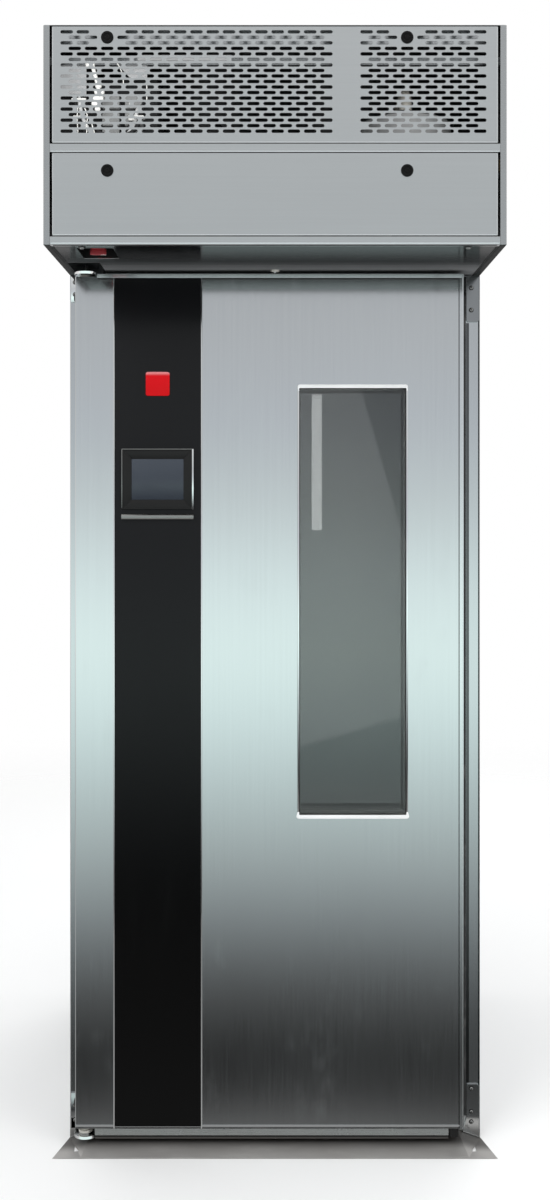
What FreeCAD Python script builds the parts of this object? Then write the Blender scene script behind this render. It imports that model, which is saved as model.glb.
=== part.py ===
import FreeCAD, Part
import math
import os

# Roll-in proofer: an insulated cabinet for one rack, with a machine compartment on top that reaches
# forward over the door. Millimetres. +X is to the right of someone facing the door, +Y goes back and
# +Z goes up. The origin is on the floor, under the middle of the whole machine.

os.makedirs("parts", exist_ok=True)

# Driving dimensions of the cabinet
body_width = 1000.0
body_depth = 1050.0
body_height = 2102.0
wall_thickness = 60.0
floor_thickness = 20.0
sheet = 1.5
running_gap = 0.3
fold_bevel = 2.0
board_margin = 4.0

# Driving dimensions of the machine compartment
canopy_reach = 400.0
total_height = 2576.0
canopy_edge = 14.0
rail_height = 18.0
rail_depth = 18.0
mid_rail_bottom = 2302.0
panel_joint = 2.0
panel_depth = 14.0
fastener_proud = 3.0
fitting_reach = 27.0
panel_side_joint = 5.3
switch_recess = 21.0

# Driving dimensions of the entry ramp
ramp_length = 115.0
ramp_nose_height = 3.0
ramp_flare = 26.0
ramp_facet = 56.0
ramp_front_facet = 68.0

# Driving dimensions of the door
door_left = -478.0
door_right = 451.0
door_bottom = 51.0
door_top = 2095.0
door_thickness = 60.0
gasket_depth = 10.0
gasket_width = 12.0
gasket_reach = 22.5
edge_cap_width = 10.0
edge_cap_proud = 1.2
hinge_inset = 22.0
hinge_forward = 40.0
hinge_corner_chamfer = 8.0
hinge_notch_width = 53.0
hinge_notch_depth = 7.0
pin_radius = 8.0
bush_radius = 12.0
pivot_flange_radius = 17.0
pivot_clearance = 0.05

# Driving dimensions of what the door carries
fascia_centre = -280.0
fascia_width = 206.0
fascia_thickness = 3.0
fascia_end_margin = 6.5
trim_bead = 3.0
badge_size = 57.0
badge_height = 1831.0
screen_width = 172.0
screen_frame_bottom = 1532.0
screen_frame_top = 1676.0
display_width = 124.0
display_height = 97.0
display_centre_height = 1603.0
window_left = 58.0
window_right = 313.5
window_bottom = 802.0
window_top = 1821.0
window_side_flange = 4.0
window_rail_height = 9.0
pane_thickness = 5.0

# Driving dimensions of the perforation and its fasteners
slot_length = 27.0
slot_width = 7.0
slot_pitch = 35.0
slot_row_pitch = 11.9
slot_rows = 19
left_field_slots = 17
right_field_slots = 8
left_field_start = -462.7
right_field_start = 184.0
top_row_height = 2561.0
fastener_radius = 13.5
stud_radius = 4.0
fastener_left = -361.7
fastener_right = 285.0
upper_fastener_height = 2549.1
lower_fastener_height = 2262.0
clear_around_fastener = 20.0

# Driving dimensions of the main switch and the door catch
switch_x = -395.0
switch_forward = 289.0
switch_hole_width = 80.0
switch_hole_depth = 125.0
catch_radius = 5.0

# Driving dimensions of the air and steam system
fan_y = 180.0
fan_radius = 150.0
return_width = 212.0
plenum_half_width = 460.0
plenum_half_depth = 180.0
plenum_height = 148.0
duct_thickness = 28.0
duct_front = -120.0
duct_back = 480.0
generator_x = 300.0
generator_y = -540.0
generator_radius = 105.0
generator_top = 2430.0

# Places worked out from the driving dimensions
side = body_width / 2
inner_side = side - wall_thickness
ceiling_bottom = body_height - wall_thickness
total_depth = fastener_proud + canopy_reach + body_depth + fitting_reach
canopy_face = fastener_proud - total_depth / 2
body_face = canopy_face + canopy_reach
body_back = body_face + body_depth
back_wall_face = body_back - wall_thickness
door_rear = body_face - gasket_depth
door_face = door_rear - door_thickness
hinge_x = door_left + hinge_inset
hinge_y = body_face - hinge_forward
underside = body_height + sheet
canopy_inner_side = side - canopy_edge
panel_side = canopy_inner_side - panel_side_joint
roof_bottom = total_height - sheet
upper_panel = (mid_rail_bottom + rail_height + panel_joint, roof_bottom - panel_joint)
lower_panel = (body_height + rail_height + panel_joint, mid_rail_bottom - panel_joint)
upper_slot_heights = [top_row_height - slot_row_pitch * row for row in range(slot_rows)]
fastener_columns = (fastener_left, fastener_right)
switch_y = body_face - switch_forward
plenum_top = body_height + plenum_height
catch_y = door_face + 3


def vec(x, y, z):
    return FreeCAD.Vector(x, y, z)


def block(x_span, y_span, z_span):
    """A box given by its low and high limits along each axis."""
    low = vec(x_span[0], y_span[0], z_span[0])
    return Part.makeBox(x_span[1] - x_span[0], y_span[1] - y_span[0], z_span[1] - z_span[0], low)


def centred(middle, width):
    """The low and high limits of a stretch about its middle."""
    return (middle - width / 2, middle + width / 2)


def grown(span, by):
    """A stretch made longer at both ends, or shorter if the amount is negative."""
    return (span[0] - by, span[1] + by)


def rod(radius, start, end):
    """A cylinder from one point to another."""
    run = end.sub(start)
    return Part.makeCylinder(radius, run.Length, start, run)


def post(radius, x, y, z_span):
    """An upright cylinder."""
    return Part.makeCylinder(radius, z_span[1] - z_span[0], vec(x, y, z_span[0]))


def joined(shapes):
    """One solid from shapes that touch or overlap."""
    return shapes[0].fuse(shapes[1:]).removeSplitter()


def less(shape, cutters):
    """A shape with each cutter taken out of it."""
    return shape.cut(Part.makeCompound(cutters))


def flat_face(points):
    """A flat face inside a closed outline."""
    return Part.Face(Part.makePolygon(points + [points[0]]))


def prism(points, along):
    """A flat outline swept along a vector."""
    return flat_face(points).extrude(along)


def side_faces(first, second, third, fourth):
    """One flat face with four corners, or two with three where the four don't lie in one plane."""
    off_plane = second.sub(first).cross(third.sub(first)).dot(fourth.sub(first))
    if abs(off_plane) < 0.001:
        return [flat_face([first, second, third, fourth])]
    if first.distanceToPoint(third) < second.distanceToPoint(fourth):
        return [flat_face([first, second, third]), flat_face([first, third, fourth])]
    return [flat_face([first, second, fourth]), flat_face([second, third, fourth])]


def through_outlines(outlines):
    """A solid with flat sides through a row of outlines that have equally many corners."""
    faces = [flat_face(outlines[0]), flat_face(outlines[-1])]
    for near, far in zip(outlines, outlines[1:]):
        for index in range(len(near)):
            following = (index + 1) % len(near)
            faces += side_faces(near[index], near[following], far[following], far[index])
    shell = Part.Shell(faces)
    shell.sewShape()
    solid = Part.Solid(shell)
    if solid.Volume < 0:
        solid.reverse()
    return solid


def regular_outline(sides, radius, centre, along):
    """The corners of a regular outline round an axis, with a flat side towards +X or +Y."""
    across = vec(1, 0, 0) if abs(along.x) < 0.5 * along.Length else vec(0, 1, 0)
    points = []
    for corner in range(sides):
        turn = FreeCAD.Rotation(along, 360 * (corner + 0.5) / sides)
        points.append(centre.add(turn.multVec(FreeCAD.Vector(across).multiply(radius))))
    return points


def turned_form(sides, x, y, rings):
    """An upright few-sided form through pairs of radius and height."""
    up = vec(0, 0, 1)
    return through_outlines([regular_outline(sides, radius, vec(x, y, z), up) for radius, z in rings])


def few_sided_bar(sides, radius, start, along):
    """A straight bar of regular section, for nuts and for small or hidden round pieces."""
    return prism(regular_outline(sides, radius, start, along), along)


def clipped_plate(x_span, y_span, z_span, size):
    """An upright plate whose four corners are clipped as seen from the front."""
    plate = block(x_span, y_span, z_span)
    corners = []
    for edge in plate.Edges:
        way = edge.Vertexes[-1].Point.sub(edge.Vertexes[0].Point)
        if abs(way.y) > 0.5 * way.Length:
            corners.append(edge)
    return plate.makeChamfer(size, corners)


def upright_edges(shape, x, y):
    """The vertical edges of a shape at one corner in plan."""
    found = []
    for edge in shape.Edges:
        ends = [vertex.Point for vertex in edge.Vertexes]
        if all(abs(end.x - x) < 0.01 and abs(end.y - y) < 0.01 for end in ends):
            found.append(edge)
    return found


def mirrored(shape):
    """The same shape on the other side of the machine's middle plane."""
    return shape.mirror(vec(0, 0, 0), vec(1, 0, 0))


def mitred_bar(sides, radius, points):
    """A few-sided bar along straight runs through the points, with a mitre at each bend."""
    ways = [after.sub(before).normalize() for before, after in zip(points, points[1:])]
    outlines = [regular_outline(sides, radius, points[0], ways[0])]
    for index, corner in enumerate(points[1:]):
        way = ways[index]
        mitre = way.add(ways[min(index + 1, len(ways) - 1)])
        outline = []
        for place in outlines[-1]:
            run = corner.sub(place).dot(mitre) / way.dot(mitre)
            outline.append(place.add(FreeCAD.Vector(way).multiply(run)))
        outlines.append(outline)
    return through_outlines(outlines)


def pivot_bar(sides, radius, z_span):
    """An upright few-sided bar on the door's hinge axis."""
    return turned_form(sides, hinge_x, hinge_y, ((radius, z_span[0]), (radius, z_span[1])))


def export(name, *solids):
    """Writes one node; several solids stay separate pieces in it."""
    shape = solids[0] if len(solids) == 1 else Part.makeCompound(list(solids))
    if not shape.Solids:
        raise ValueError("no solid in " + name)
    for solid in shape.Solids:
        if not solid.isValid() or solid.Volume <= 0:
            raise ValueError("bad solid in " + name)
    shape.exportStep("parts/" + name + ".step")


# Cabinet shell: folded stainless panels, open at the back edge where the next panel closes them


def floor_pan():
    pan = block((-side, side), (body_face, body_back), (0, floor_thickness))
    pocket = block(grown((-side, side), -sheet), (body_face + sheet, body_back + sheet),
                   (sheet, floor_thickness - sheet))
    return pan.cut(pocket)


def ramp_form(rear_y, front_y, rear, front):
    """A wedge between two ends, each given by its half top width, half foot width and height."""
    outlines = []
    for y, (half_top, half_foot, height) in ((rear_y, rear), (front_y, front)):
        outlines.append([vec(-half_foot, y, 0), vec(-half_top, y, height), vec(half_top, y, height),
                         vec(half_foot, y, 0)])
    return through_outlines(outlines)


def entry_ramp():
    """A folded ramp up to the floor, with sloping facets at each side, hollow underneath."""
    outside = ramp_form(body_face, body_face - ramp_length, (side - ramp_facet, side, floor_thickness),
                        (side + ramp_flare - ramp_front_facet, side + ramp_flare, ramp_nose_height))
    metal = 2.5
    hollow_length = ramp_length * 0.7
    front_height = floor_thickness - metal - (floor_thickness - ramp_nose_height) * 0.7
    hollow = ramp_form(body_face + 1, body_face - hollow_length,
                       (side - ramp_facet - metal, side - 4 * metal, floor_thickness - metal),
                       (side - ramp_facet, side - 2 * metal, front_height))
    return outside.cut(hollow)


def right_wall():
    height = (floor_thickness, ceiling_bottom)
    wall = block((inner_side, side), (body_face, back_wall_face), height)
    wall = wall.makeChamfer(fold_bevel, upright_edges(wall, side, body_face))
    pocket = block(grown((inner_side, side), -sheet), (body_face + sheet, back_wall_face + sheet),
                   grown(height, 1))
    return wall.cut(pocket)


def back_wall():
    height = (floor_thickness, ceiling_bottom)
    wall = block((-side, side), (back_wall_face, body_back), height)
    corners = upright_edges(wall, side, body_back) + upright_edges(wall, -side, body_back)
    wall = wall.makeChamfer(fold_bevel, corners)
    pocket = block(grown((-side, side), -sheet), grown((back_wall_face, body_back), -sheet), grown(height, 1))
    return wall.cut(pocket)


def supply_slot(by):
    """The opening through which the fan feeds the right-hand air duct."""
    across = (inner_side - duct_thickness + 5, inner_side - 5)
    return block(grown(across, by), grown(centred(fan_y, 320), by), grown((ceiling_bottom, body_height), 1))


def return_opening(by, z_span):
    """The square opening under the fan through which the air returns."""
    return block(grown(centred(0, return_width), by), grown(centred(fan_y, return_width), by), z_span)


def ceiling():
    """The insulated ceiling with its return air opening and the two supply slots, each with a collar."""
    height = (ceiling_bottom, body_height)
    panel = block((-side, side), (body_face, body_back), height)
    pocket = block(grown((-side, side), -sheet), (body_face + sheet, body_back + sheet),
                   grown(height, -sheet))
    right_collar = supply_slot(sheet)
    return_collar = return_opening(sheet, (ceiling_bottom, body_height + 12))
    pocket = less(pocket, [right_collar, mirrored(right_collar), return_collar])
    hole = return_opening(0, (ceiling_bottom - 1, body_height + 13))
    return less(joined([panel, return_collar]), [pocket, hole, supply_slot(0), mirrored(supply_slot(0))])


def wall_insulation():
    """Foam boards that fill the walls, the ceiling and the floor."""
    fit = sheet + running_gap
    inside = (floor_thickness, ceiling_bottom)
    right = block(grown((inner_side, side), -fit), (body_face + fit, back_wall_face - running_gap), inside)
    right = right.makeChamfer(board_margin, upright_edges(right, side - fit, body_face + fit))
    back = block(grown((-side, side), -board_margin), grown((back_wall_face, body_back), -fit), inside)
    top = block(grown((-side, side), -fit), (body_face + fit, body_back - fit),
                grown((ceiling_bottom, body_height), -fit))
    holes = [supply_slot(fit), mirrored(supply_slot(fit)), return_opening(fit, (ceiling_bottom, body_height))]
    bottom = block(grown((-side, side), -fit), (body_face + fit, body_back - fit),
                   grown((0, floor_thickness), -fit))
    return [mirrored(right), right, back, less(top, holes), bottom]


# Inside the cabinet


def right_air_duct():
    """A slotted channel on the side wall, open at the top to the fan's plenum."""
    face = inner_side - duct_thickness
    duct = block((face, inner_side), (duct_front, duct_back), (60, ceiling_bottom))
    pocket = block((face + sheet, inner_side + 1), grown((duct_front, duct_back), -sheet),
                   (60 + sheet, ceiling_bottom + 1))
    slots = []
    for row in range(3):
        for column in (0, 1):
            middle = duct_front + (duct_back - duct_front) * (0.27 + 0.46 * column)
            slots.append(block((face - 1, face + sheet + 1), centred(middle, 220),
                               centred(400 + 600 * row, 14)))
    return less(duct, [pocket] + slots)


def bumper_bar(start, along, outward, half_height, depth):
    """A bumper rail with bevelled edges that stands out from a wall."""
    crown = start.add(FreeCAD.Vector(outward).multiply(depth))
    half_crown = vec(0, 0, half_height - depth)
    foot = vec(0, 0, half_height)
    return prism([start.sub(foot), crown.sub(half_crown), crown.add(half_crown), start.add(foot)], along)


def rack_bumpers():
    bars = []
    face = inner_side - duct_thickness
    for height in (280, 1120):
        along = vec(0, duct_back - duct_front, 0)
        right = bumper_bar(vec(face, duct_front, height), along, vec(-1, 0, 0), 20, 12)
        bars.append(right)
        bars.append(mirrored(right))
    bars.append(bumper_bar(vec(-300, back_wall_face, 280), vec(600, 0, 0), vec(0, -1, 0), 20, 16))
    return bars


def interior_lamp():
    """A bulkhead lamp under the ceiling: a flat base with a bevelled lens."""
    outlines = []
    for half_width, half_depth, drop in ((95, 45, 0), (95, 45, 8), (86, 36, 8), (72, 22, 34)):
        x, y = (-half_width, half_width), centred(body_face + 150, 2 * half_depth)
        z = ceiling_bottom - drop
        outlines.append([vec(x[0], y[0], z), vec(x[1], y[0], z), vec(x[1], y[1], z), vec(x[0], y[1], z)])
    return through_outlines(outlines)


def climate_probe():
    """The temperature and humidity probe on the right-hand wall, behind the air duct."""
    y, z = duct_back + 70, 1500
    plate = few_sided_bar(12, 22, vec(inner_side - 4, y, z), vec(4, 0, 0))
    stem = few_sided_bar(8, 6, vec(inner_side - 34, y, z), vec(30, 0, 0))
    return joined([plate, stem])


# Door hardware on the cabinet


def hinge_bracket(plate_height, flange_height):
    """A flat arm with a rounded end that holds a pivot pin's hexagonal shank, on a flange."""
    half_width = 28.0
    arm = block(centred(hinge_x, 2 * half_width), (hinge_y, body_face), plate_height)
    nose = pivot_bar(20, half_width, plate_height)
    flange = block((-side + 3, hinge_x - 4), (body_face - 5, body_face), flange_height)
    return joined([arm, nose, flange]).cut(pivot_bar(6, pin_radius, grown(plate_height, 1)))


def lower_hinge_bracket():
    """Its flange has the same foot as the jamb plate on the other side."""
    foot = mirrored(lower_jamb_plate()).common(block((-side, side), (body_face - 6, body_face), (0, 60)))
    return joined([hinge_bracket((24, 30), (24, 110)), foot])


def hinge_pins():
    """The upper pin with its nut and stud, and the lower pin with the nut that carries the door."""
    upper = joined([post(pin_radius, hinge_x, hinge_y, (2050, door_top + 1)),
                    pivot_bar(6, pin_radius, (door_top + 1, body_height)),
                    pivot_bar(6, 11, (body_height, body_height + 8)),
                    pivot_bar(6, 4, (body_height + 8, body_height + 17))])
    lower = joined([post(pin_radius, hinge_x, hinge_y, (34, 90)),
                    pivot_bar(6, pin_radius, (24, 30)),
                    pivot_bar(6, pivot_flange_radius, (30, 34))])
    return [upper, lower]


def upper_jamb_plate():
    """A plate on the right-hand jamb where the door could be hung the other way round."""
    return clipped_plate((466, 497), (body_face - 5, body_face), (1988, body_height), 4)


def lower_jamb_plate():
    """The lower plate widens towards its foot, which follows the slope of the ramp's side."""
    def ramp_top(x):
        return floor_thickness * (side - x) / ramp_facet + running_gap

    outline = [(466, 127), (470, 131), (493, 131), (497, 127), (497, ramp_top(497)), (458, ramp_top(458)),
               (458, 22), (466, 50)]
    return prism([vec(x, body_face - 5, z) for x, z in outline], vec(0, 5, 0))


def bracket_screws():
    """Screws on the jamb plates and hinge flanges, and the two under the canopy's front edge."""
    heads = []
    on_plate = body_face - 5
    for x, heights in ((478, (2071, 2017, 121, 65, 40)), (door_left - 9, (2085, 2055, 80, 45))):
        for height in heights:
            heads.append(few_sided_bar(6, 5.5, vec(x, on_plate, height), vec(0, -4, 0)))
    for x in (-421, 421):
        heads.append(few_sided_bar(6, 8.5, vec(x, canopy_face + 34, underside), vec(0, 0, -5)))
    return heads


def catch_body():
    """The barrel of the door catch, through the canopy's underside above the door's front edge."""
    flange = ((11, underside - 4), (11, underside))
    barrel = ((9, underside), (9, underside + 42))
    bore = ((catch_radius + 0.1, underside - 5), (catch_radius + 0.1, underside + 38))
    return joined([turned_form(12, 0, catch_y, flange), turned_form(12, 0, catch_y, barrel)]).cut(
        turned_form(12, 0, catch_y, bore))


def catch_plunger():
    """The sprung plunger with the rounded nose that rides over the door's top edge."""
    tip = door_top + 0.4
    return turned_form(12, 0, catch_y, ((2, tip), (4.2, tip + 1.5), (catch_radius, tip + 4),
                                        (catch_radius, underside + 26)))


# Door


def door_form(inset):
    """The door's whole form, or the hollow inside it when it is inset by the sheet thickness."""
    left, right = door_left + inset, door_right - inset
    front, rear = door_face + inset, door_rear + (1 if inset else 0)
    low, high = door_bottom + inset, door_top - inset
    chamfer = hinge_corner_chamfer + (1 - 0.41 * inset if inset else 0)
    plan = [vec(left, front, low), vec(right, front, low), vec(right, rear, low),
            vec(left + chamfer, rear, low), vec(left, rear - chamfer, low)]
    notch = block((left - 1, door_left + hinge_notch_width + inset), (front - 1, rear + 1),
                  (door_top - hinge_notch_depth - inset, high + 1))
    return prism(plan, vec(0, 0, high - low)).cut(notch)


def window_cut(by, y_span):
    return block(grown((window_left, window_right), by), y_span, grown((window_bottom, window_top), by))


def door_skin():
    """The folded outer skin: raised caps along its top and right edges, and beads beside the fascia."""
    outside = door_form(0)
    outside = outside.makeChamfer(fold_bevel, upright_edges(outside, door_left, door_face))
    cap_front = door_face - edge_cap_proud
    cap_depth = (cap_front, door_face + sheet / 2)
    side_cap = block((door_right - edge_cap_width, door_right), cap_depth, (door_bottom, door_top))
    top_cap = block((door_left + hinge_notch_width, door_right), cap_depth,
                    (door_top - edge_cap_width, door_top))
    caps = joined([side_cap, top_cap])
    caps = caps.makeChamfer(edge_cap_proud / 2, upright_edges(caps, door_right, cap_front))
    parts = [outside, caps]
    for edge in (fascia_centre - fascia_width / 2 - trim_bead, fascia_centre + fascia_width / 2):
        parts.append(block((edge, edge + trim_bead), (door_face - fascia_thickness, door_face + sheet / 2),
                           (door_bottom, door_top - edge_cap_width - 1)))
    bush_holes = [pivot_bar(12, bush_radius, (door_bottom - 1, door_bottom + 50)),
                  pivot_bar(12, bush_radius, (door_top - 60, door_top + 1))]
    window_hole = window_cut(window_side_flange, grown((door_face, door_rear), 10))
    return less(joined(parts), [door_form(sheet), window_hole] + bush_holes)


def liner_dish(by):
    """The raised middle field of the door's inner skin."""
    wires = []
    for y, inset in ((door_rear - 1, 0), (door_rear + 6 - by, 6)):
        low_x, high_x = -425 + inset + by, 425 - inset - by
        low_z, high_z = 75 + inset + by, 2030 - inset - by
        points = [vec(low_x, y, low_z), vec(high_x, y, low_z), vec(high_x, y, high_z), vec(low_x, y, high_z)]
        wires.append(Part.makePolygon(points + [points[0]]))
    return Part.makeLoft(wires, True, True)


def door_liner():
    plate = block((door_left + 10, door_right - sheet - running_gap), (door_rear - sheet, door_rear),
                  (door_bottom + sheet + running_gap, door_top - hinge_notch_depth - 2 * sheet))
    raised = joined([plate, liner_dish(0)])
    hollow = liner_dish(sheet)
    hollow.translate(vec(0, -0.6, 0))
    behind = block((-420, 420), (door_rear - 2, door_rear - 0.5), (80, 2025))
    return less(raised, [hollow, behind, window_cut(window_side_flange, grown((door_face, door_rear), 10))])


def door_insulation():
    fit = sheet + running_gap
    board = block((door_left + 10, door_right - fit), (door_face + fit, door_rear - fit),
                  (door_bottom + fit, door_top - hinge_notch_depth - fit))
    bush_width = 2 * (bush_radius + running_gap)
    bushes = [block(centred(hinge_x, bush_width), centred(hinge_y, bush_width), height)
              for height in ((door_bottom, door_bottom + 50), (door_top - 60, door_top))]
    return less(board, bushes + [window_cut(window_side_flange + running_gap, (door_face, door_rear))])


def pivot_bushes():
    """The flanged bushes that turn on the two pins."""
    notch_floor = door_top - hinge_notch_depth
    upper = joined([pivot_bar(12, bush_radius, (2046, notch_floor)),
                    pivot_bar(12, pivot_flange_radius, (notch_floor, door_top + 0.6))])
    lower = joined([pivot_bar(12, bush_radius, (door_bottom - 10, door_bottom + 46)),
                    pivot_bar(12, pivot_flange_radius, (34 + running_gap, door_bottom - 10))])
    upper_bore = post(pin_radius + pivot_clearance, hinge_x, hinge_y, (2040, door_top + 2))
    lower_bore = post(pin_radius + pivot_clearance, hinge_x, hinge_y, (30, door_bottom + 50))
    return [upper.cut(upper_bore), lower.cut(lower_bore)]


def door_gasket():
    """The bulb gasket on three sides, which closes against the cabinet's front; its latch side shows
    beside the door's edge."""
    depth = (door_rear, body_face - running_gap)
    right = (inner_side + 2, inner_side + 2 + gasket_reach)
    left = (-inner_side - 2 - gasket_width, -inner_side - 2)
    top = (ceiling_bottom + 8, ceiling_bottom + 8 + gasket_width)
    strips = [block(left, depth, (door_bottom + 6, top[1])), block(right, depth, (door_bottom + 6, top[1])),
              block((left[0], right[1]), depth, top)]
    return joined(strips)


def edge_plugs():
    """Round cap plugs on the door's hinge edge, over the screws that hold the bushes."""
    plugs = []
    for height in (door_top - 54, door_bottom + 52):
        outlines = [regular_outline(12, radius, vec(door_left - reach, hinge_y, height), vec(1, 0, 0))
                    for reach, radius in ((0, 10), (4.5, 10), (6, 8))]
        plugs.append(through_outlines(outlines))
    return plugs


def control_fascia():
    return block(centred(fascia_centre, fascia_width), (door_face - fascia_thickness, door_face),
                 (door_bottom + fascia_end_margin, door_top - edge_cap_width - 1))


fascia_face = door_face - fascia_thickness


def badge_plate():
    return clipped_plate(centred(fascia_centre, badge_size), (fascia_face - 3, fascia_face),
                         centred(badge_height, badge_size), 2.5)


def screen_frame():
    """The bright frame round the touch screen, with the ledge bar under it."""
    across = centred(fascia_centre, screen_width)
    frame = block(across, (fascia_face - 6, fascia_face), (screen_frame_bottom, screen_frame_top))
    opening = block((across[0] + 4, across[1] - 6), (fascia_face - 7, fascia_face + 1),
                    (screen_frame_bottom + 4, screen_frame_top - 4))
    ledge = block(across, (fascia_face - 12, fascia_face),
                  (screen_frame_bottom - 24, screen_frame_bottom - 12))
    front_edges = [edge for edge in ledge.Edges
                   if all(vertex.Y < fascia_face - 11 for vertex in edge.Vertexes)]
    long_edges = [edge for edge in front_edges if edge.Length > screen_width - 1]
    return [frame.cut(opening), ledge.makeChamfer(3, long_edges)]


def display_recess(by):
    return (grown(centred(fascia_centre, display_width), by),
            grown(centred(display_centre_height, display_height), by))


def screen_bezel():
    across = centred(fascia_centre, screen_width)
    bezel = block((across[0] + 4, across[1] - 6), (fascia_face - 5, fascia_face),
                  (screen_frame_bottom + 4, screen_frame_top - 4))
    wide, high = display_recess(0)
    return bezel.cut(block(wide, (fascia_face - 6, fascia_face - 3), high))


def touch_screen():
    wide, high = display_recess(-0.2)
    return block(wide, (fascia_face - 4.6, fascia_face - 3), high)


# Door window


def window_frame():
    """The outer frame with clipped corners, wider above and below the glass, and a sleeve into the door."""
    proud = 5
    flange = clipped_plate(grown((window_left, window_right), window_side_flange), (door_face - proud, door_face),
                           grown((window_bottom, window_top), window_rail_height), 6)
    sleeve = window_cut(window_side_flange, (door_face, door_face + door_thickness / 2))
    opening = window_cut(0, (door_face - proud - 1, door_face + 1))
    hollow = window_cut(window_side_flange - sheet, (door_face, door_face + door_thickness))
    return less(joined([flange, sleeve]), [opening, hollow])


def window_inner_frame():
    flange = window_cut(14, (door_rear + 6, door_rear + 8))
    sleeve = window_cut(window_side_flange, (door_face + door_thickness / 2, door_rear + 6))
    opening = window_cut(0, (door_rear + 5, door_rear + 9))
    hollow = window_cut(window_side_flange - sheet, (door_face, door_rear + 5))
    return less(joined([flange, sleeve]), [opening, hollow])


def window_panes():
    fit = window_side_flange - sheet - running_gap
    outer = window_cut(fit, (door_face, door_face + pane_thickness))
    inner = window_cut(fit, (door_rear + 5 - pane_thickness, door_rear + 5))
    return [outer, inner]


# Door sweep


def sweep_carrier():
    """The aluminium channel under the door that grips the rubber lip."""
    across = (door_left + 47, door_right - 36)
    carrier = block(across, (door_face + 3, door_face + 15), (34, door_bottom))
    return carrier.cut(block(grown(across, 1), centred(door_face + 9, 3.4), (33, 46)))


def sweep_lip():
    """The rubber lip in the channel, with the end block that seals at the latch side."""
    across = (door_left + 47, door_right - 36)
    lip = block(across, centred(door_face + 9, 3), (24, 45.7))
    end = block((across[1] + 3, across[1] + 24), (door_face + 3, door_face + 15), (30, door_bottom))
    return [lip, end]


# Machine compartment


def canopy_right_side():
    """The side panel, folded inwards all round so that its front edge shows as a narrow flange."""
    height = (body_height, total_height)
    panel = block((side - canopy_edge, side), (canopy_face, body_back), height)
    panel = panel.makeChamfer(fold_bevel, upright_edges(panel, side, canopy_face))
    pocket = block((side - canopy_edge - 1, side - sheet), grown((canopy_face, body_back), -sheet),
                   grown(height, -sheet))
    return panel.cut(pocket)


def stud_clearances(height):
    """Square holes behind a panel that its fasteners' studs reach through."""
    width = 2 * stud_radius + 4
    return [block(centred(x, width), (canopy_face, canopy_face + 2 * panel_depth), centred(height, width))
            for x in fastener_columns]


def canopy_roof():
    """The roof sheet, with a flange behind the upper panel that receives the fastener studs."""
    across = (-canopy_inner_side, canopy_inner_side)
    roof = block(across, (canopy_face, body_back), (roof_bottom, total_height))
    behind_panel = canopy_face + panel_depth + 2
    flange = block(grown(across, -2), (behind_panel, behind_panel + sheet),
                   (upper_fastener_height - 14, roof_bottom))
    return less(joined([roof, flange]), stud_clearances(upper_fastener_height))


def canopy_back():
    """The rear panel with two banks of vent slots."""
    panel = block((-canopy_inner_side, canopy_inner_side), (body_back - sheet, body_back),
                  (body_height + sheet, roof_bottom))
    vents = []
    for middle in (-200, 200):
        for row in range(3):
            vents.append(block(centred(middle, 150), (body_back - 3, body_back + 1),
                               centred(2320 + 32 * row, 10)))
    return less(panel, vents)


def rail_section(z_span):
    """A channel across the canopy's front, open at the back."""
    across = (-canopy_inner_side, canopy_inner_side)
    outside = block(across, (canopy_face, canopy_face + rail_depth), z_span)
    return outside.cut(block(grown(across, 1), (canopy_face + sheet, canopy_face + rail_depth + 1),
                             grown(z_span, -sheet)))


def canopy_mid_rail():
    """The rail between the panels, with a flange that receives the lower panel's studs."""
    behind_panel = canopy_face + panel_depth + 2
    across = (-canopy_inner_side, canopy_inner_side)
    flange = block(grown(across, -2), (behind_panel, behind_panel + sheet),
                   (lower_fastener_height - 14, mid_rail_bottom + sheet))
    return less(joined([rail_section((mid_rail_bottom, mid_rail_bottom + rail_height)), flange]),
                stud_clearances(lower_fastener_height))


def canopy_base_plate():
    """The underside over the entry, with the opening for the main switch and a notch round the hinge."""
    plate = block(grown((-side, side), -sheet), (canopy_face + sheet + running_gap, body_face),
                  (underside, underside + sheet))
    through = (underside - 1, underside + sheet + 1)
    switch_hole = block(centred(switch_x, switch_hole_width), centred(switch_y, switch_hole_depth), through)
    hinge_notch = block((-side, hinge_x + 49), (hinge_y - 126, body_face + 1), through)
    catch_radius_out = 9 + running_gap
    catch_hole = turned_form(12, 0, catch_y, ((catch_radius_out, through[0]), (catch_radius_out, through[1])))
    return less(plate, [switch_hole, hinge_notch, catch_hole])


def slot_face(x_start, z_middle):
    """One slot of the perforation, as an outline on the panel's front."""
    low, high = centred(z_middle, slot_width)
    points = [vec(x_start, canopy_face, low), vec(x_start + slot_length, canopy_face, low),
              vec(x_start + slot_length, canopy_face, high), vec(x_start, canopy_face, high)]
    return Part.makePolygon(points + [points[0]])


def near_fastener(x_middle, z_middle):
    """Whether a slot would run into the plain field round an upper fastener."""
    close = slot_length / 2 + 4
    return any(abs(x_middle - x) < close + 4 and abs(z_middle - upper_fastener_height) < clear_around_fastener
               for x in fastener_columns)


def perforation():
    """Every slot outline: two fields of staggered rows, with the slots at the fasteners left out."""
    outlines = []
    for row, height in enumerate(upper_slot_heights):
        staggered = row % 2
        for start, count in ((left_field_start, left_field_slots), (right_field_start, right_field_slots)):
            for index in range(count - staggered):
                x_start = start + slot_pitch * (index + 0.5 * staggered)
                if not near_fastener(x_start + slot_length / 2, height):
                    outlines.append(slot_face(x_start, height))
    return outlines


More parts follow.
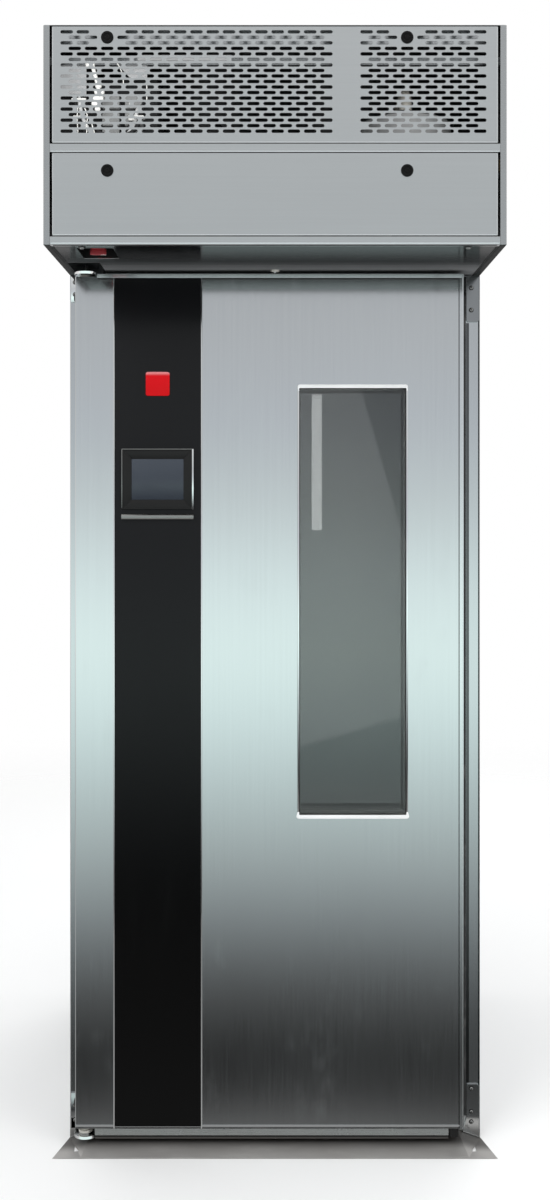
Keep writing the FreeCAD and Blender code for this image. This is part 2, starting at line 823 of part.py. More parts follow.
def access_panel(z_span, outlines, fastener_height):
    """A shallow folded pan, with its front pierced by the outlines and by two stud holes."""
    across = (-panel_side, panel_side)
    corners = [vec(across[0], canopy_face, z_span[0]), vec(across[1], canopy_face, z_span[0]),
               vec(across[1], canopy_face, z_span[1]), vec(across[0], canopy_face, z_span[1])]
    border = Part.makePolygon(corners + [corners[0]])
    holes = []
    for x in fastener_columns:
        points = regular_outline(12, stud_radius + 0.2, vec(x, canopy_face, fastener_height), vec(0, 1, 0))
        holes.append(Part.makePolygon(points + [points[0]]))
    front = Part.makeFace([border] + outlines + holes, "Part::FaceMakerBullseye").extrude(vec(0, sheet, 0))
    folds = block(across, (canopy_face + sheet, canopy_face + panel_depth), z_span)
    inside = block(grown(across, -sheet), (canopy_face, canopy_face + panel_depth + 1), grown(z_span, -sheet))
    return front.fuse(folds.cut(inside)).removeSplitter()


def quarter_turn_fastener(x, z):
    """A flat round head with a driver slot, and a stud with the cam groove across its tip."""
    head_back = canopy_face - running_gap
    head_front = canopy_face - fastener_proud
    stud_end = canopy_face + panel_depth + 12
    head = few_sided_bar(20, fastener_radius, vec(x, head_front, z), vec(0, head_back - head_front, 0))
    stud = few_sided_bar(8, stud_radius, vec(x, head_back, z), vec(0, stud_end - head_back, 0))
    driver = block(centred(x, 18), (head_front - 1, head_front + 1.2), centred(z, 3))
    groove = block(centred(x, 12), (stud_end - 5, stud_end + 1), centred(z, 1.6))
    return less(joined([head, stud]), [driver, groove])


# Main switch


def main_switch_box():
    """The switch's housing on the base plate; its hollow foot frames the opening that the knob hangs in."""
    ceiling_height = underside + switch_recess
    outside = block(centred(switch_x, switch_hole_width + 10), centred(switch_y, switch_hole_depth + 10),
                    (underside + sheet, ceiling_height + 110))
    well = block(centred(switch_x, switch_hole_width), centred(switch_y, switch_hole_depth),
                 (underside, ceiling_height))
    shaft_bore = turned_form(12, switch_x, switch_y, ((5.3, ceiling_height - 1), (5.3, ceiling_height + 12)))
    return less(outside, [well, shaft_bore])


def main_switch_knob():
    """A round tapered knob with a grip bar across its face, hanging inside the opening in the underside."""
    top = underside + switch_recess - running_gap
    skirt = turned_form(20, switch_x, switch_y, ((15, top - 12), (21, top)))
    grip = block(centred(switch_x, 36), centred(switch_y, 12), (top - 24, top - 11))
    ends = [edge for edge in grip.Edges if 12.9 < edge.Length < 13.1]
    shaft = turned_form(12, switch_x, switch_y, ((5, top - 5), (5, top + 11)))
    return joined([skirt, grip.makeChamfer(4, ends), shaft])


# Machinery


def control_box():
    """The electrical enclosure on the side panel, a hollow box with a raised lid on its front."""
    x, y, z = (-side + sheet, -262), (-636, -420), (2250, 2490)
    lid = block(grown(x, -6), (y[0] - 4, y[0]), grown(z, -6))
    inside = block(grown(x, -sheet), grown(y, -sheet), grown(z, -sheet))
    return joined([block(x, y, z), lid]).cut(inside)


def wiring_harness():
    """Bundled cables: a loop at the front of the enclosure, and the run to the fan motor."""
    loop = mitred_bar(6, 6, [vec(-430, -640, 2452), vec(-430, -672, 2452), vec(-405, -680, 2360),
                             vec(-310, -680, 2352), vec(-300, -672, 2424), vec(-300, -640, 2424)])
    to_fan = mitred_bar(6, 6, [vec(-262, -500, 2440), vec(-130, -500, 2440), vec(-130, fan_y, 2340),
                               vec(-74, fan_y, 2340)])
    return [loop, to_fan]


def equipment_rail():
    """A folded cable tray across the front of the compartment, from side panel to side panel."""
    across = grown((-side, side), -sheet)
    return joined([block(across, (-696, -660), (2518, 2520)), block(across, (-696, -694), (2502, 2520))])


def fan_plenum():
    """The box over the ceiling that the fan blows into; it feeds the slots at both sides."""
    outside = block((-plenum_half_width, plenum_half_width), centred(fan_y, 2 * plenum_half_depth),
                    (body_height, plenum_top))
    inside = block(grown((-plenum_half_width, plenum_half_width), -sheet),
                   grown(centred(fan_y, 2 * plenum_half_depth), -sheet), (body_height - 1, plenum_top - sheet))
    return less(outside, [inside, block(centred(0, 28), centred(fan_y, 28), (plenum_top - 5, plenum_top + 1))])


def fan_motor():
    """The motor stands on the plenum, with its bearing bore round the fan's shaft."""
    body = turned_form(12, 0, fan_y, ((70, plenum_top), (70, plenum_top + 138), (58, plenum_top + 150)))
    terminal_box = block((-74, -50), centred(fan_y, 70), (plenum_top + 60, plenum_top + 110))
    return joined([body, terminal_box]).cut(post(10.05, 0, fan_y, (plenum_top - 1, plenum_top + 40)))


def fan_blade(turn):
    """One straight blade between the two plates, leaning back against the way the wheel turns."""
    blade = block((0, 95), (-1, 1), (body_height + 18, body_height + plenum_height - 32))
    blade.rotate(vec(0, 0, 0), vec(0, 0, 1), 50)
    blade.translate(vec(66, fan_y, 0))
    blade.rotate(vec(0, fan_y, 0), vec(0, 0, 1), turn)
    return blade


def fan_wheel():
    """A plug fan: hub plate on top, inlet ring below, blades between, and the shaft up to the motor."""
    ring_low = body_height + 16
    plate_low = body_height + plenum_height - 33
    ring = turned_form(18, 0, fan_y, ((fan_radius, ring_low), (fan_radius, ring_low + 3)))
    inlet = turned_form(12, 0, fan_y, ((100, ring_low - 1), (100, ring_low + 4)))
    plate = turned_form(18, 0, fan_y, ((fan_radius, plate_low), (fan_radius, plate_low + 3)))
    hub = turned_form(12, 0, fan_y, ((24, plate_low - 30), (24, plate_low)))
    shaft = post(10, 0, fan_y, (plate_low, plenum_top + 36))
    blades = [fan_blade(60 * index) for index in range(6)]
    return joined([plate, ring.cut(inlet), hub, shaft] + blades)


def heater_elements():
    """A hairpin heating rod at each side of the fan, fixed to the plenum's back wall."""
    rear = fan_y + plenum_half_depth - sheet
    front = fan_y - plenum_half_depth + 40
    height = body_height + 85
    right = mitred_bar(6, 5, [vec(230, rear, height), vec(230, front, height), vec(330, front, height),
                              vec(330, rear, height)])
    return [mirrored(right), right]


def boiler_form(inset):
    """The boiler's outside, or the hollow in it when it is inset by the wall's thickness."""
    low, high = underside + sheet + 14 + inset, generator_top - 10 - inset
    radius = generator_radius - inset
    return turned_form(12, generator_x, generator_y, ((radius - 18, low), (radius, low + 18), (radius, high - 18),
                                                      (radius - 18, high)))


def steam_generator():
    """The stainless boiler on its skirt, with its element flange on top."""
    low = underside + sheet
    skirt_radius = generator_radius - 25
    skirt = turned_form(12, generator_x, generator_y, ((skirt_radius, low), (skirt_radius, low + 20)))
    flange = turned_form(12, generator_x, generator_y, ((50, generator_top - 10), (50, generator_top)))
    return joined([boiler_form(0), skirt, flange]).cut(boiler_form(2))


def water_valve():
    """A solenoid valve on the side panel: body, coil on top, and the feed to the boiler's flat side."""
    boiler_side = generator_x + generator_radius * math.cos(math.pi / 12)
    body = block((424, side - sheet), centred(generator_y, 40), (2300, 2330))
    coil = few_sided_bar(8, 17, vec(450, generator_y, 2330), vec(0, 0, 42))
    feed = few_sided_bar(6, 7, vec(boiler_side, generator_y, 2315), vec(424 - boiler_side, 0, 0))
    return joined([body, coil, feed])


def steam_pipe():
    """The pipe from the boiler's top to the plenum."""
    entry = fan_y - plenum_half_depth + 40
    return mitred_bar(12, 14, [vec(generator_x, generator_y, generator_top), vec(generator_x, generator_y, 2488),
                               vec(generator_x, entry, 2488), vec(generator_x, entry, plenum_top)])


def service_fittings():
    """Cable gland, water inlet and drain stub on the rear panel."""
    reach = vec(0, fitting_reach, 0)
    inwards = vec(0, 2, 0)
    gland_start = vec(-350, body_back, 2450)
    bore = rod(8, gland_start.add(inwards), gland_start.add(reach).add(vec(0, 1, 0)))
    gland = joined([few_sided_bar(6, 19, gland_start, vec(0, 8, 0)), few_sided_bar(12, 12, gland_start, reach)])
    pieces = [gland.cut(bore)]
    for height, radius in ((2450, 13.2), (2150, 20.0)):
        start = vec(350, body_back, height)
        stub = joined([few_sided_bar(6, radius + 7, start, vec(0, 8, 0)), rod(radius, start, start.add(reach))])
        pieces.append(stub.cut(few_sided_bar(6, radius - 4, start.add(inwards), reach)))
    return pieces


export("floor_pan", floor_pan())
export("entry_ramp", entry_ramp())
export("left_wall", mirrored(right_wall()))
export("right_wall", right_wall())
export("back_wall", back_wall())
export("ceiling", ceiling())
export("wall_insulation", *wall_insulation())
export("left_air_duct", mirrored(right_air_duct()))
export("right_air_duct", right_air_duct())
export("rack_bumpers", *rack_bumpers())
export("interior_lamp", interior_lamp())
export("climate_probe", climate_probe())

export("hinge_brackets", hinge_bracket((door_top + 1, body_height), (2036, body_height)),
       lower_hinge_bracket())
export("hinge_pins", *hinge_pins())
export("jamb_plates", upper_jamb_plate(), lower_jamb_plate())
export("bracket_screws", *bracket_screws())
export("catch_body", catch_body())
export("catch_plunger", catch_plunger())

export("door_skin", door_skin())
export("door_liner", door_liner())
export("door_insulation", door_insulation())
export("pivot_bushes", *pivot_bushes())
export("door_gasket", door_gasket())
export("edge_plugs", *edge_plugs())
export("control_fascia", control_fascia())
export("badge_plate", badge_plate())
export("screen_frame", *screen_frame())
export("screen_bezel", screen_bezel())
export("touch_screen", touch_screen())
export("window_frame", window_frame())
export("window_inner_frame", window_inner_frame())
export("window_panes", *window_panes())
export("sweep_carrier", sweep_carrier())
export("sweep_lip", *sweep_lip())

export("canopy_left_side", mirrored(canopy_right_side()))
export("canopy_right_side", canopy_right_side())
export("canopy_roof", canopy_roof())
export("canopy_back", canopy_back())
export("canopy_bottom_rail", rail_section((body_height, body_height + rail_height)))
export("canopy_mid_rail", canopy_mid_rail())
export("canopy_base_plate", canopy_base_plate())
export("upper_access_panel", access_panel(upper_panel, perforation(), upper_fastener_height))
export("lower_access_panel", access_panel(lower_panel, [], lower_fastener_height))
for level, fastener_height in (("upper", upper_fastener_height), ("lower", lower_fastener_height)):
    for hand, column in (("left", fastener_left), ("right", fastener_right)):
        export(level + "_" + hand + "_fastener", quarter_turn_fastener(column, fastener_height))

export("main_switch_box", main_switch_box())
export("main_switch_knob", main_switch_knob())
export("control_box", control_box())
export("wiring_harness", *wiring_harness())
export("equipment_rail", equipment_rail())
export("fan_plenum", fan_plenum())
export("fan_motor", fan_motor())
export("fan_wheel", fan_wheel())
export("heater_elements", *heater_elements())
export("steam_generator", steam_generator())
export("water_valve", water_valve())
export("steam_pipe", steam_pipe())
export("service_fittings", *service_fittings())
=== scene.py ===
import bmesh
import bpy
import math
from mathutils import Matrix, Vector


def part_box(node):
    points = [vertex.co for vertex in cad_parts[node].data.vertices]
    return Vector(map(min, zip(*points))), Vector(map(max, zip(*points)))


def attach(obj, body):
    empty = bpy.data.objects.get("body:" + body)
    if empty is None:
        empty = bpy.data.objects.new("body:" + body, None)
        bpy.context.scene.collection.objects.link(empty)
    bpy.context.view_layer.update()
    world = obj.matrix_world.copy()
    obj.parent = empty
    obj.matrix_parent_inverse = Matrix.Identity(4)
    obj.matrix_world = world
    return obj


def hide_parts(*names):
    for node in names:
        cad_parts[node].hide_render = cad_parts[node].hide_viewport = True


# The looks of the roll-in proofer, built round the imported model. Metres; +X right, +Y back, +Z up.

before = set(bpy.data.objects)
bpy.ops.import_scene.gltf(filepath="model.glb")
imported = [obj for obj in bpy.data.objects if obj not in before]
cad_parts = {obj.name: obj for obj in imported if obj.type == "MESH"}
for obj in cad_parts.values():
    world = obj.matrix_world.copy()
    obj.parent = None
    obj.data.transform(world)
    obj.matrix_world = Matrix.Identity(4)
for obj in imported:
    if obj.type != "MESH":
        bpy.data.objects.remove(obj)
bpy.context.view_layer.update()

canopy_face = -0.737
body_face = -0.337
body_back = 0.713
door_face = -0.407
door_rear = -0.347
door_left, door_right = -0.478, 0.451
door_bottom, door_top = 0.051, 2.095
fascia_face = -0.410
fascia_middle = -0.280
underside = 2.1035
hinge_x, hinge_y = -0.456, -0.377
switch_x, switch_y = -0.395, -0.626
fan_y = 0.180
plenum_top = 2.250
window = (0.058, 0.3135, 0.802, 1.821)


# Shader maths as plain expressions


class Value:
    """A number that varies over a surface; arithmetic on it adds the shader's own maths."""

    def __init__(self, finish, socket):
        self.finish = finish
        self.socket = socket

    def with_other(self, operation, first, second):
        return self.finish.add("ShaderNodeMath", {"operation": operation}, {0: first, 1: second})

    def __add__(self, other):
        return self.with_other("ADD", self, other)

    def __radd__(self, other):
        return self.with_other("ADD", other, self)

    def __sub__(self, other):
        return self.with_other("SUBTRACT", self, other)

    def __rsub__(self, other):
        return self.with_other("SUBTRACT", other, self)

    def __mul__(self, other):
        return self.with_other("MULTIPLY", self, other)

    def __rmul__(self, other):
        return self.with_other("MULTIPLY", other, self)

    def rising(self, low, high):
        """0 below low, 1 above high, and smooth in between."""
        return self.finish.add("ShaderNodeMapRange", {"interpolation_type": "SMOOTHSTEP"},
                               {"Value": self, "From Min": low, "From Max": high})


class Finish:
    """A material whose nodes are added one expression at a time."""

    def __init__(self, name):
        self.material = bpy.data.materials.new(name)
        self.material.use_nodes = True
        self.tree = self.material.node_tree
        self.shader = self.tree.nodes["Principled BSDF"]

    def add(self, kind, settings=None, inputs=None, output=0):
        node = self.tree.nodes.new(kind)
        for key, setting in (settings or {}).items():
            if key == "stops":
                colour_ramp(node.color_ramp, setting)
            else:
                setattr(node, key, setting)
        for key, given in (inputs or {}).items():
            if isinstance(given, Value):
                self.tree.links.new(given.socket, node.inputs[key])
            else:
                node.inputs[key].default_value = given
        return Value(self, node.outputs[output])

    def place(self):
        return self.add("ShaderNodeTexCoord", output="Object")

    def height(self):
        return self.add("ShaderNodeSeparateXYZ", inputs={0: self.place()}, output=2)

    def depth(self):
        return self.add("ShaderNodeSeparateXYZ", inputs={0: self.place()}, output=1)

    def noise(self, scale, stretch=(1, 1, 1), detail=2.0, roughness=0.5):
        """Cloudy noise from 0 to 1; a small stretch along an axis draws it out that way."""
        where = self.add("ShaderNodeMapping", inputs={"Vector": self.place(), "Scale": stretch})
        return self.add("ShaderNodeTexNoise", inputs={"Vector": where, "Scale": scale, "Detail": detail,
                                                      "Roughness": roughness})

    def mixed(self, factor, first, second):
        return self.add("ShaderNodeMix", {"data_type": "RGBA"},
                        {0: factor, 6: opaque(first), 7: opaque(second)}, output=2)

    def bump(self, height, strength, distance=0.001, over=None):
        inputs = {"Height": height, "Strength": strength, "Distance": distance}
        if over is not None:
            inputs["Normal"] = over
        return self.add("ShaderNodeBump", inputs=inputs)

    def surface(self, **sockets):
        """Sets the main shader's sockets; underscores in the names stand for spaces."""
        for key, given in sockets.items():
            socket = self.shader.inputs[key.replace("_", " ")]
            if isinstance(given, Value):
                self.tree.links.new(given.socket, socket)
            else:
                socket.default_value = opaque(given)
        return self.material


def opaque(colour):
    """A colour of three numbers gets its fourth; anything else stays as it is."""
    if isinstance(colour, tuple) and len(colour) == 3:
        return (*colour, 1.0)
    return colour


def colour_ramp(ramp, stops):
    while len(ramp.elements) < len(stops):
        ramp.elements.new(1.0)
    for element, (position, shade) in zip(ramp.elements, stops):
        element.position = position
        element.color = (shade, shade, shade, 1.0) if isinstance(shade, float) else opaque(shade)


# Finishes

level, along_y, no_grain = (0.01, 1, 1), (1, 0.01, 1), (1, 1, 1)


def brushed_steel(name, tint, roughness=0.20, grain=(1, 1, 0.01), smudge=0.03, edge=1.0):
    """Stainless steel with fine brushing along one axis, faint streaks and hand smudges.

    The edge value is how strongly it shines at a grazing angle."""
    steel = Finish(name)
    fine = steel.noise(900, grain, 2.0)
    streak = steel.noise(160, grain, 3.0)
    cloud = steel.noise(2.2, (1, 1, 0.6), 3.0, 0.6)
    smear = steel.noise(14, (1, 1, 0.5), 4.0, 0.65).rising(0.55, 0.8)
    dark = tuple(channel * 0.93 for channel in tint)
    light = tuple(min(1.0, channel * 1.07) for channel in tint)
    colour = steel.mixed(fine * 0.3 + streak * 0.4 + cloud * 0.3, dark, light)
    rough = fine * 0.04 + cloud * 0.03 + smear * smudge + (roughness - 0.04)
    return steel.surface(Base_Color=colour, Metallic=1.0, Roughness=rough, Specular_Tint=(edge,) * 3,
                         Normal=steel.bump(fine, 0.02, 0.0001))


def worn_floor_steel(name):
    """The ramp's sheet: duller, with scuffs from wheels and shoes, and darker at its rear, a painted shade under the
    door.
    """
    steel = Finish(name)
    fine = steel.noise(420, (0.02, 1, 1), 2.0)
    scuff = steel.noise(26, (0.25, 1, 1), 5.0, 0.7).rising(0.48, 0.72)
    stain = steel.noise(5, (1, 1.4, 1), 4.0, 0.6)
    # Painted shade: the colour darkens towards the rear, under the door.
    painted_rear_shade = steel.depth().rising(-0.425, -0.375)
    base = steel.mixed(stain, (0.36, 0.345, 0.33), (0.46, 0.45, 0.44))
    colour = steel.mixed(painted_rear_shade, steel.mixed(scuff * 0.4, base, (0.56, 0.55, 0.53)), (0.10, 0.095, 0.09))
    return steel.surface(Base_Color=colour, Metallic=0.55, Roughness=0.36 + scuff * 0.12 + stain * 0.1,
                         Normal=steel.bump(fine * 0.6 + scuff, 0.1, 0.0004))


def sheltered_steel(name):
    """The sheet over the door: a dim mirror in front, duller and lighter towards the door's head; the dark front and
    the lighter rear are painted shade and light in its colour.
    """
    steel = Finish(name)
    fine = steel.noise(700, along_y, 2.0)
    cloud = steel.noise(5, (1, 0.6, 1), 3.0, 0.6)
    middle = steel.depth().rising(-0.720, -0.540)
    rear = steel.depth().rising(-0.530, -0.400)
    # Painted reflection and light: dark in front for a dark room mirrored, lighter towards the door's head.
    colour = steel.mixed(rear, (0.035, 0.036, 0.037), (0.22, 0.225, 0.23))
    return steel.surface(Base_Color=colour, Metallic=0.95 - middle * 0.76 + rear * 0.12,
                         Roughness=0.11 + fine * 0.03 + cloud * 0.03 + rear * 0.38, Specular_IOR_Level=0.0,
                         Specular_Tint=(0.60, 0.60, 0.60), Normal=steel.bump(fine, 0.02, 0.0001))


def panel_steel(name):
    """The cabinet's double-skinned panels: bright outside, and darker and duller on the inner faces."""
    steel = Finish(name)
    fine = steel.noise(900, (1, 1, 0.01), 2.0)
    cloud = steel.noise(2.2, (1, 1, 0.6), 3.0, 0.6)
    across = steel.add("ShaderNodeMath", {"operation": "ABSOLUTE"}, {
        0: steel.add("ShaderNodeSeparateXYZ", inputs={0: steel.place()}, output=0)})
    inner = (1 - across.rising(0.445, 0.490)) * (1 - steel.depth().rising(0.660, 0.705))
    inner = inner * steel.depth().rising(-0.336, -0.325) * (1 - steel.height().rising(2.050, 2.095))
    tone = fine * 0.6 + cloud * 0.4
    outside = steel.mixed(tone, (0.575, 0.595, 0.605), (0.66, 0.68, 0.69))
    inside = steel.mixed(tone, (0.27, 0.265, 0.25), (0.33, 0.325, 0.31))
    return steel.surface(Base_Color=steel.mixed(inner, outside, inside), Metallic=1.0,
                         Roughness=0.10 + fine * 0.03 + cloud * 0.04 + inner * 0.36, Specular_Tint=(0.7, 0.7, 0.7),
                         Normal=steel.bump(fine, 0.02, 0.0001))


def folded_steel(name, tint, downward_shade):
    """Brushed sheet whose folds that face the floor are dull and dark: painted shade on the faces that look down."""
    steel = Finish(name)
    fine = steel.noise(900, level, 2.0)
    cloud = steel.noise(2.2, (1, 1, 0.6), 3.0, 0.6)
    facing = steel.add("ShaderNodeNewGeometry", output="Normal")
    down = (0 - steel.add("ShaderNodeSeparateXYZ", inputs={0: facing}, output=2)).rising(0.5, 0.8)
    light = tuple(min(1.0, channel * 1.07) for channel in tint)
    colour = steel.mixed(down, steel.mixed(fine * 0.5 + cloud * 0.5, tint, light), downward_shade)
    return steel.surface(Base_Color=colour, Metallic=1 - down * 0.9, Roughness=0.24 + fine * 0.04 + cloud * 0.03 + down * 0.2,
                         Specular_Tint=(0.6, 0.6, 0.6), Specular_IOR_Level=0.1, Normal=steel.bump(fine, 0.02, 0.0001))


def plate_steel(name):
    """The jamb's screwed plates: dim under the canopy as painted shade, and brighter at the foot as a painted
    highlight.
    """
    steel = Finish(name)
    fine = steel.noise(900, (1, 1, 0.01), 2.0)
    cloud = steel.noise(6, detail=3.0)
    rise = steel.height()
    colour = steel.mixed(rise.rising(0.046, 0.054), (0.80, 0.81, 0.81), (0.42, 0.43, 0.435))
    colour = steel.mixed(rise.rising(1.0, 1.9), colour, (0.34, 0.35, 0.355))
    return steel.surface(Base_Color=colour, Metallic=1.0, Roughness=0.10 + fine * 0.03 + cloud * 0.05,
                         Specular_Tint=(0.7, 0.7, 0.7), Normal=steel.bump(fine, 0.02, 0.0001))


def lip_rubber(name):
    """The sweep's lip: black rubber, lighter grey towards its lower edge."""
    rubber = Finish(name)
    grain = rubber.noise(500, detail=3.0)
    toward_lower_edge = 1 - rubber.height().rising(0.026, 0.030)
    colour = rubber.mixed(toward_lower_edge, (0.012, 0.012, 0.012), (0.075, 0.070, 0.066))
    return rubber.surface(Base_Color=colour, Roughness=0.55 + grain * 0.2, Specular_IOR_Level=0.2,
                          Normal=rubber.bump(grain, 0.15, 0.0003))


def plain_plastic(name, colour, roughness=0.45, grit=900, relief=0.08, coat=0.0, shine=0.5):
    """Moulded plastic or enamel with a fine texture and a slight change of colour."""
    plastic = Finish(name)
    grain = plastic.noise(grit, detail=2.0)
    cloud = plastic.noise(7, detail=3.0)
    darker = tuple(channel * 0.82 for channel in colour)
    lighter = tuple(min(1.0, channel * 1.12 + 0.004) for channel in colour)
    return plastic.surface(Base_Color=plastic.mixed(cloud, darker, lighter), Roughness=roughness - 0.05 + cloud * 0.1,
                           Coat_Weight=coat, Coat_Roughness=0.06, Specular_IOR_Level=shine,
                           Normal=plastic.bump(grain, relief, 0.0002))


def soft_rubber(name, colour=(0.018, 0.018, 0.018)):
    rubber = Finish(name)
    grain = rubber.noise(700, detail=3.0)
    dust = rubber.noise(30, detail=4.0).rising(0.5, 0.8)
    return rubber.surface(Base_Color=rubber.mixed(dust * 0.35, colour, (0.16, 0.155, 0.15)), Roughness=0.62 + grain * 0.2,
                          Normal=rubber.bump(grain, 0.15, 0.0003))


def cast_metal(name, colour, roughness=0.42, metallic=1.0):
    metal = Finish(name)
    grain = metal.noise(340, detail=4.0, roughness=0.7)
    patina = metal.noise(24, detail=4.0)
    darker = tuple(channel * 0.72 for channel in colour)
    return metal.surface(Base_Color=metal.mixed(patina, darker, colour), Metallic=metallic,
                         Roughness=roughness + grain * 0.15, Normal=metal.bump(grain, 0.2, 0.0004))


def gloss_black_fascia():
    """The control strip: deep gloss black with a faint dust haze and the odd wipe mark."""
    gloss = Finish("fascia_gloss_black")
    haze = gloss.noise(9, (1, 1, 0.35), 4.0, 0.6)
    wipe = gloss.noise(40, (1, 1, 0.1), 3.0).rising(0.55, 0.85)
    ripple = gloss.noise(55, detail=1.0)
    # Painted reflection: the black lightens towards the top.
    height = gloss.height().rising(0.2, 2.0)
    colour = gloss.mixed(height, (0.0002, 0.0002, 0.0002), (0.0078, 0.0083, 0.0092))
    return gloss.surface(Base_Color=colour, Roughness=0.16 + haze * 0.1 + wipe * 0.06, Specular_IOR_Level=0.2,
                         Normal=gloss.bump(ripple, 0.012, 0.0003))


def red_badge():
    badge = Finish("badge_red")
    low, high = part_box("badge_plate")
    # Painted light: the red lightens towards the top, and the pale band under the top edge is a painted highlight.
    rise = badge.height().rising(low.z, high.z)
    fleck = badge.noise(300, detail=2.0)
    colour = badge.mixed(rise, (0.56, 0.003, 0.006), (0.66, 0.005, 0.010))
    colour = badge.mixed(badge.height().rising(high.z - 0.010, high.z - 0.001), colour, (0.80, 0.26, 0.27))
    return badge.surface(Base_Color=colour, Roughness=0.22 + fleck * 0.06, Specular_IOR_Level=0.15,
                         Normal=badge.bump(badge.noise(60), 0.02, 0.0003))


def dark_display():
    """A sleeping screen: slate glass, a touch lighter towards its top, a painted reflection."""
    glass = Finish("display_slate")
    low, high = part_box("touch_screen")
    rise = glass.height().rising(low.z, high.z)
    smear = glass.noise(30, detail=4.0).rising(0.45, 0.8)
    colour = glass.mixed(rise, (0.030, 0.037, 0.048), (0.048, 0.058, 0.074))
    return glass.surface(Base_Color=colour, Roughness=0.12 + smear * 0.12, Specular_IOR_Level=0.3,
                         Normal=glass.bump(smear, 0.01, 0.0002))


def clear_glass():
    glass = Finish("window_glass")
    tone = glass.mixed(glass.noise(4, detail=3.0), (0.93, 0.965, 0.96), (0.96, 0.985, 0.98))
    return glass.surface(Base_Color=tone, Transmission_Weight=1.0, IOR=1.46, Roughness=0.0,
                         Normal=glass.bump(glass.noise(2), 0.004, 0.0005))


def lit_lens():
    lens = Finish("lamp_lens")
    rib = lens.add("ShaderNodeTexWave", {"wave_type": "BANDS", "bands_direction": "X"},
                   {"Vector": lens.place(), "Scale": 60.0})
    return lens.surface(Base_Color=lens.mixed(rib, (0.86, 0.84, 0.78), (0.95, 0.94, 0.90)), Roughness=0.3 + rib * 0.1,
                        Emission_Color=(1.0, 0.93, 0.80), Emission_Strength=0.6, Normal=lens.bump(rib, 0.3, 0.001))


door_steel = brushed_steel("door_steel", (0.68, 0.70, 0.705), 0.12)
canopy_steel = brushed_steel("canopy_steel", (0.60, 0.615, 0.62), 0.30, level)
cap_steel = brushed_steel("cap_steel", (0.74, 0.76, 0.765), 0.13)
wall_steel = panel_steel("wall_steel")
# The dark last colour is painted shade on the faces that look down.
canopy_side_steel = folded_steel("canopy_side_steel", (0.46, 0.47, 0.475), (0.012, 0.012, 0.012))
shaded_steel = brushed_steel("shaded_fold", (0.12, 0.125, 0.125), 0.14, edge=0.5)
# Near-black steel for strips where the jamb lies in shade: painted shade.
corner_shade_steel = brushed_steel("corner_shade", (0.03, 0.03, 0.03), 0.16, edge=0.1)
jamb_plate_steel = plate_steel("jamb_plate_steel")
bush_nickel = cast_metal("bush_nickel", (0.82, 0.80, 0.74), 0.25, 0.4)
sweep_lip_rubber = lip_rubber("sweep_lip_rubber")
lining_steel = brushed_steel("lining_steel", (0.32, 0.315, 0.30), 0.50, edge=0.5)
roof_steel = brushed_steel("roof_steel", (0.60, 0.61, 0.62), 0.32, along_y, 0.03, 0.3)
underside_steel = sheltered_steel("underside_steel")
bright_steel = brushed_steel("bright_trim", (0.84, 0.85, 0.85), 0.11, smudge=0.02)
# A brighter copy of the panel steel for the slim fold strips: painted highlight along the edges.
fold_highlight_steel = brushed_steel("fold_highlight", (0.88, 0.89, 0.89), 0.26, level, 0.02)
zinc_steel = brushed_steel("zinc_sheet", (0.50, 0.51, 0.52), 0.38, no_grain)
ramp_steel = worn_floor_steel("ramp_steel")
screw_steel = cast_metal("screw_steel", (0.50, 0.50, 0.49), 0.10)
dark_rod = cast_metal("heater_rod", (0.22, 0.20, 0.19), 0.5)
cast_aluminium = cast_metal("cast_aluminium", (0.62, 0.63, 0.64), 0.42)
satin_aluminium = brushed_steel("satin_aluminium", (0.72, 0.72, 0.71), 0.28, level, 0.02)
dull_aluminium = brushed_steel("dull_aluminium", (0.34, 0.34, 0.33), 0.30, level, 0.02)
yellow_brass = cast_metal("valve_brass", (0.72, 0.52, 0.24), 0.36)
window_trim = plain_plastic("window_trim_white", (0.84, 0.86, 0.86), 0.28, coat=0.4)
fascia_black = gloss_black_fascia()
badge_paint = red_badge()
display_glass = dark_display()
pane_glass = clear_glass()
black_satin = plain_plastic("satin_black", (0.008, 0.008, 0.008), 0.38, shine=0.25)
fastener_black = plain_plastic("fastener_black", (0.004, 0.004, 0.004), 0.34, relief=0.15, shine=0.12)
seal_black = soft_rubber("seal_black")
cable_black = plain_plastic("cable_sheath", (0.014, 0.014, 0.015), 0.42)
cable_grey = plain_plastic("cable_sheath_grey", (0.55, 0.56, 0.56), 0.45)
tie_white = plain_plastic("nylon_white", (0.80, 0.80, 0.77), 0.42)
bumper_white = plain_plastic("bumper_white", (0.76, 0.76, 0.73), 0.5)
housing_grey = plain_plastic("housing_grey", (0.05, 0.052, 0.055), 0.5)
enamel_grey = plain_plastic("enamel_grey", (0.34, 0.345, 0.35), 0.42, relief=0.2)
enamel_dark = plain_plastic("enamel_dark", (0.020, 0.021, 0.022), 0.5, relief=0.2, shine=0.2)
jacket_grey = plain_plastic("boiler_jacket", (0.22, 0.225, 0.225), 0.5, grit=300, relief=0.3, shine=0.3)
# The red is darkened as painted shade for the knob under the canopy.
switch_red = plain_plastic("switch_red", (0.30, 0.022, 0.028), 0.5)
hose_cream = soft_rubber("hose_cream", (0.62, 0.60, 0.54))
foam_cream = plain_plastic("foam_board", (0.78, 0.70, 0.46), 0.8, grit=260, relief=0.5)
lamp_glass = lit_lens()


# Shapes


def together(*shapes):
    """Several shapes as one."""
    whole = bmesh.new()
    for shape in shapes:
        part = bpy.data.meshes.new("part")
        shape.to_mesh(part)
        shape.free()
        whole.from_mesh(part)
        bpy.data.meshes.remove(part)
    return whole


